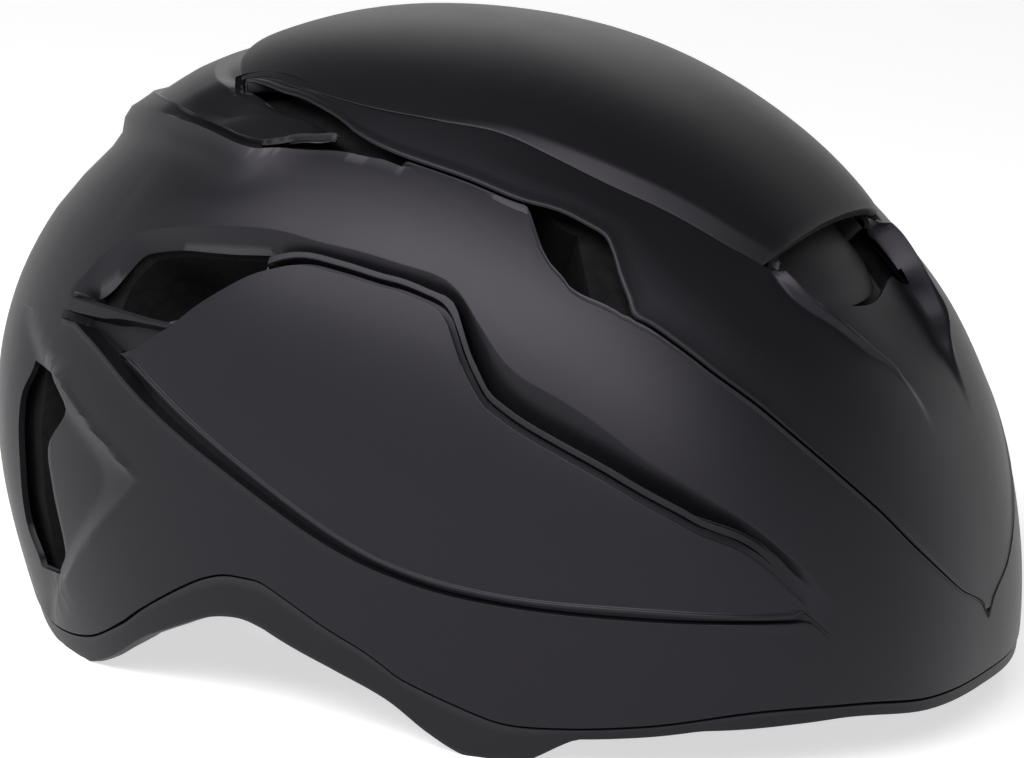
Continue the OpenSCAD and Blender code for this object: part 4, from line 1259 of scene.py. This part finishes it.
# %% Joining the liner's two sheets
def loops_of(edges):
    """Boundary edges sorted into closed loops."""
    left = set(edges)
    loops = []
    for first in edges:
        if first not in left:
            continue
        loop, queue = [], [first]
        left.discard(first)
        while queue:
            e = queue.pop()
            loop.append(e)
            for other in (o for v in e.verts for o in v.link_edges if o in left):
                left.discard(other)
                queue.append(other)
        loops.append(loop)
    return loops


def loop_towards(loop):
    """Direction from the head's centre to the middle of a loop of edges."""
    middle = sum((v.co for e in loop for v in e.verts), Vector()) / (2 * len(loop))
    return (middle - HEAD * MM).normalized()


def joined_sheets(outside, inside):
    """Joins two sheets of the same layout into one closed block."""
    outer = set(outside.verts)
    inner_mesh = mesh_of(inside, "inner")
    outside.from_mesh(inner_mesh)
    bpy.data.meshes.remove(inner_mesh)
    loops = loops_of([e for e in outside.edges if e.is_boundary])
    outer_loops = [loop for loop in loops if loop[0].verts[0] in outer]
    inner_loops = [loop for loop in loops if loop[0].verts[0] not in outer]
    for loop in outer_loops:
        mate = min(inner_loops, key=lambda other: (loop_towards(other) - loop_towards(loop)).length)
        inner_loops.remove(mate)
        bmesh.ops.bridge_loops(outside, edges=loop + mate)
    return outside


liner_block = joined_sheets(liner_sheet(liner_outside), liner_sheet(liner_inside))
bmesh.ops.recalc_face_normals(liner_block, faces=liner_block.faces[:])
finished(
    liner_block, "foam_liner_block", foam_finish,
    stands_for=["foam_liner_front", "foam_liner_rear_left", "foam_liner_rear_right"],
)

# %% [markdown]
# ## Vent shutter
# Behind the cover's lip a small moulded plate closes the front vent from inside. It is domed, so
# it falls away to both sides, and its lower edge is rounded. It slides with the shutter.

# %% The shutter plate's mesh
PLATE_W = 23
PLATE_FRONT = 30.9
PLATE_REAR = 43.5
PLATE_DEPTH = 8.3
PLATE_ACROSS, PLATE_ALONG = 48, 14


def plate_place(i, j):
    y = PLATE_W * (2 * i / PLATE_ACROSS - 1)
    side = abs(y) / PLATE_W
    front = PLATE_FRONT + 1.6 * side ** 2 + 2.6 * side ** 6
    back = j / PLATE_ALONG
    return on_top(
        mix(front, PLATE_REAR, back), y,
        PLATE_DEPTH + 2.0 * side ** 2 + 0.8 * (1 - ease(0, 0.25, back)),
    )


finished(
    walled(shaped_grid(PLATE_ACROSS, PLATE_ALONG, plate_place), 1.4, 0.3),
    "vent_shutter_plate", vent_finish,
    body="shutter", stands_for=["vent_shutter"],
)

# %% [markdown]
# ## Finish of the pieces that stay
# The small moulded pieces keep the frame's own meshes, which are exact. They only get a finish,
# as do the rubber, steel, hook tape and lace.

# %% Finishes for the frame's pieces
KEPT = {
    "dial_knob": rubber_finish,
    "strap_keepers": rubber_finish,
    "dial_screw": steel_finish,
    "hook_discs": hook_finish,
    "fit_lace": lace_finish,
}
PLASTIC = [
    "vent_duct", "shutter_guides", "strap_anchors", "strap_divider_left", "strap_divider_right",
    "buckle_socket", "buckle_prong", "temple_anchors", "fit_band_left", "fit_band_right",
    "nape_yoke", "dial_housing_cap", "dial_drum",
]
SOFT = [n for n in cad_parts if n.endswith("_pad") or "_pad_" in n or n == "nape_pads"]
STRAPS = [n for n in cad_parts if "strap_left" in n or "strap_right" in n]


def refinish(node, material):
    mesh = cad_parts[node].data
    mesh.materials.clear()
    mesh.materials.append(material)


for node, material in KEPT.items():
    refinish(node, material)
for node in PLASTIC:
    refinish(node, fit_finish)
print("kept", len(KEPT) + len(PLASTIC))

# %% [markdown]
# ## Pads
# The pads are thin foam under a knit cover. Each one starts as its solid from the frame, a
# little smaller. It is remeshed and then blown up as cloth, so that the cover pulls in between
# its corners. The pads are thin, so the voxels are small and no point moves far.

# %% Blown pads
VOXEL = 2.2
SHRINK = 0.5
PRESSURE = 4
SWELL = 1.6
FRAMES = 20
SOFT_BODY = {"nape_pads": "yoke"}


def baked(piece):
    mesh = bpy.data.meshes.new_from_object(piece.evaluated_get(bpy.context.evaluated_depsgraph_get()))
    piece.modifiers.clear()
    piece.data = mesh
    return mesh


def solid_copy(node, name, shrink):
    bm = bmesh.new()
    bm.from_mesh(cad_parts[node].data)
    bmesh.ops.remove_doubles(bm, verts=bm.verts[:], dist=0.02 * MM)
    bm.normal_update()
    for v in bm.verts:
        v.co -= v.normal * shrink * MM
    return placed(name, mesh_of(bm, name))


def blown_pad(node):
    piece = solid_copy(node, f"{node}_cover", SHRINK)
    remesh = piece.modifiers.new("voxels", "REMESH")
    remesh.mode = "VOXEL"
    remesh.voxel_size = VOXEL * MM
    before = [v.co.copy() for v in baked(piece).vertices]
    cloth = piece.modifiers.new("blow", "CLOTH")
    cloth.settings.use_pressure = True
    cloth.settings.uniform_pressure_force = PRESSURE
    cloth.settings.effector_weights.gravity = 0
    cloth.point_cache.frame_end = FRAMES
    for k in range(1, FRAMES + 1):
        bpy.context.scene.frame_set(k)
    baked(piece)
    bpy.context.scene.frame_set(1)
    for v, old in zip(piece.data.vertices, before):
        away = v.co - old
        if away.length > SWELL * MM:
            v.co = old + away.normalized() * SWELL * MM
    for polygon in piece.data.polygons:
        polygon.use_smooth = True
    piece.data.materials.clear()
    piece.data.materials.append(pad_finish)
    finer = piece.modifiers.new("finer", "SUBSURF")
    finer.levels = finer.render_levels = 1
    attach(piece, SOFT_BODY.get(node, "root"))
    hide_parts(node)
    print(piece.name, len(piece.data.polygons), "faces")


for node in SOFT:
    blown_pad(node)

# %% [markdown]
# ## Straps
# The straps are flat woven tape. Their faces come from the frame's solids, with soft selvedges
# along both edges, and the weave is in the finish.

# %% Strap meshes
TAPE_SHRINK = 0.05
SELVEDGE = 0.35


def tape(node):
    piece = solid_copy(node, f"{node}_tape", TAPE_SHRINK)
    soft = piece.modifiers.new("selvedge", "BEVEL")
    soft.width = SELVEDGE * MM
    soft.segments = 2
    soft.limit_method = "ANGLE"
    soft.angle_limit = math.radians(50)
    piece.data.materials.clear()
    piece.data.materials.append(webbing_finish)
    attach(piece, "root")
    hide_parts(node)
    print(piece.name, len(piece.data.polygons), "faces")


for node in STRAPS:
    tape(node)

# %% [markdown]
# ## Floor and background
# The floor is plain and pale. Camera rays see it as white, with the helmet's shadow, and so do
# glossy and transmission rays. Other rays meet a darker floor and a dim sky with a dark ceiling,
# so that the white ground puts no light of its own on the shells.

# %% Floor and world
FLOOR_SHADE = (0.2, 0.2, 0.2)
FLOOR_SEEN = (0.6, 0.6, 0.6)
FLOOR_GLOW = 0.65
FLOOR_SIZE = 6
SKY = 0.28
CEILING = (0.08, 0.08, 0.085)
# Height of the view's direction at which the ceiling starts, and at which it is reached
CEILING_FROM, CEILING_TO = 0.1, 0.6


def seen_rays(tree):
    """The light path's rays that show the white ground: camera, glossy and transmission rays."""
    rays = tree.node("ShaderNodeLightPath").outputs
    seen = rays["Is Camera Ray"]
    for name in ("Is Glossy Ray", "Is Transmission Ray"):
        seen = tree.node("ShaderNodeMath", {"operation": "MAXIMUM"}, {0: seen, 1: rays[name]}).outputs[0]
    return seen


def add_floor():
    bm = bmesh.new()
    bmesh.ops.create_grid(bm, x_segments=2, y_segments=2, size=FLOOR_SIZE)
    floor = placed("floor", mesh_of(bm, "floor"))
    finish = Finish("floor")
    finish.set(
        Base_Color=FLOOR_SEEN, Roughness=0.9, Emission_Color=(1, 1, 1), Emission_Strength=FLOOR_GLOW,
    )
    dull = finish.node("ShaderNodeBsdfDiffuse", None, {"Color": FLOOR_SHADE})
    both = finish.node(
        "ShaderNodeMixShader", None,
        {0: seen_rays(finish), 1: dull.outputs[0], 2: finish.shader.outputs[0]},
    )
    finish.feed(finish.nodes["Material Output"].inputs["Surface"], both.outputs[0])
    floor.data.materials.append(finish.owner)
    floor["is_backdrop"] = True


def white_world():
    world = bpy.data.worlds.new("world")
    bpy.context.scene.world = world
    sky = Tree(world)
    toward = sky.node("ShaderNodeTexCoord").outputs["Generated"]
    height = sky.node("ShaderNodeMapRange", {"interpolation_type": "SMOOTHSTEP"}, {
        "Value": sky.node("ShaderNodeSeparateXYZ", None, {0: toward}).outputs["Z"],
        "From Min": CEILING_FROM, "From Max": CEILING_TO,
    })
    strength = sky.node(
        "ShaderNodeMath", {"operation": "MULTIPLY_ADD"}, {0: seen_rays(sky), 1: 1 - SKY, 2: SKY},
    )
    background = sky.nodes["Background"].inputs
    sky.feed(background["Strength"], strength.outputs[0])
    sky.feed(background["Color"], sky.mix(height.outputs["Result"], (1, 1, 1), CEILING))


add_floor()
white_world()
bpy.context.scene.view_settings.view_transform = "Standard"

# %% [markdown]
# ## Sizes
# The dressed helmet must fill the same box as the frame, so both boxes are measured and how far each side
# grew is printed.

# %% Sizes
size = {"cad": [list(v) for v in cad_box], "visual": [list(v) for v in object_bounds()]}
grown = [round((b - a) / MM, 1) for p, q in zip(size["cad"], size["visual"]) for a, b in zip(p, q)]
print("grew by", grown)
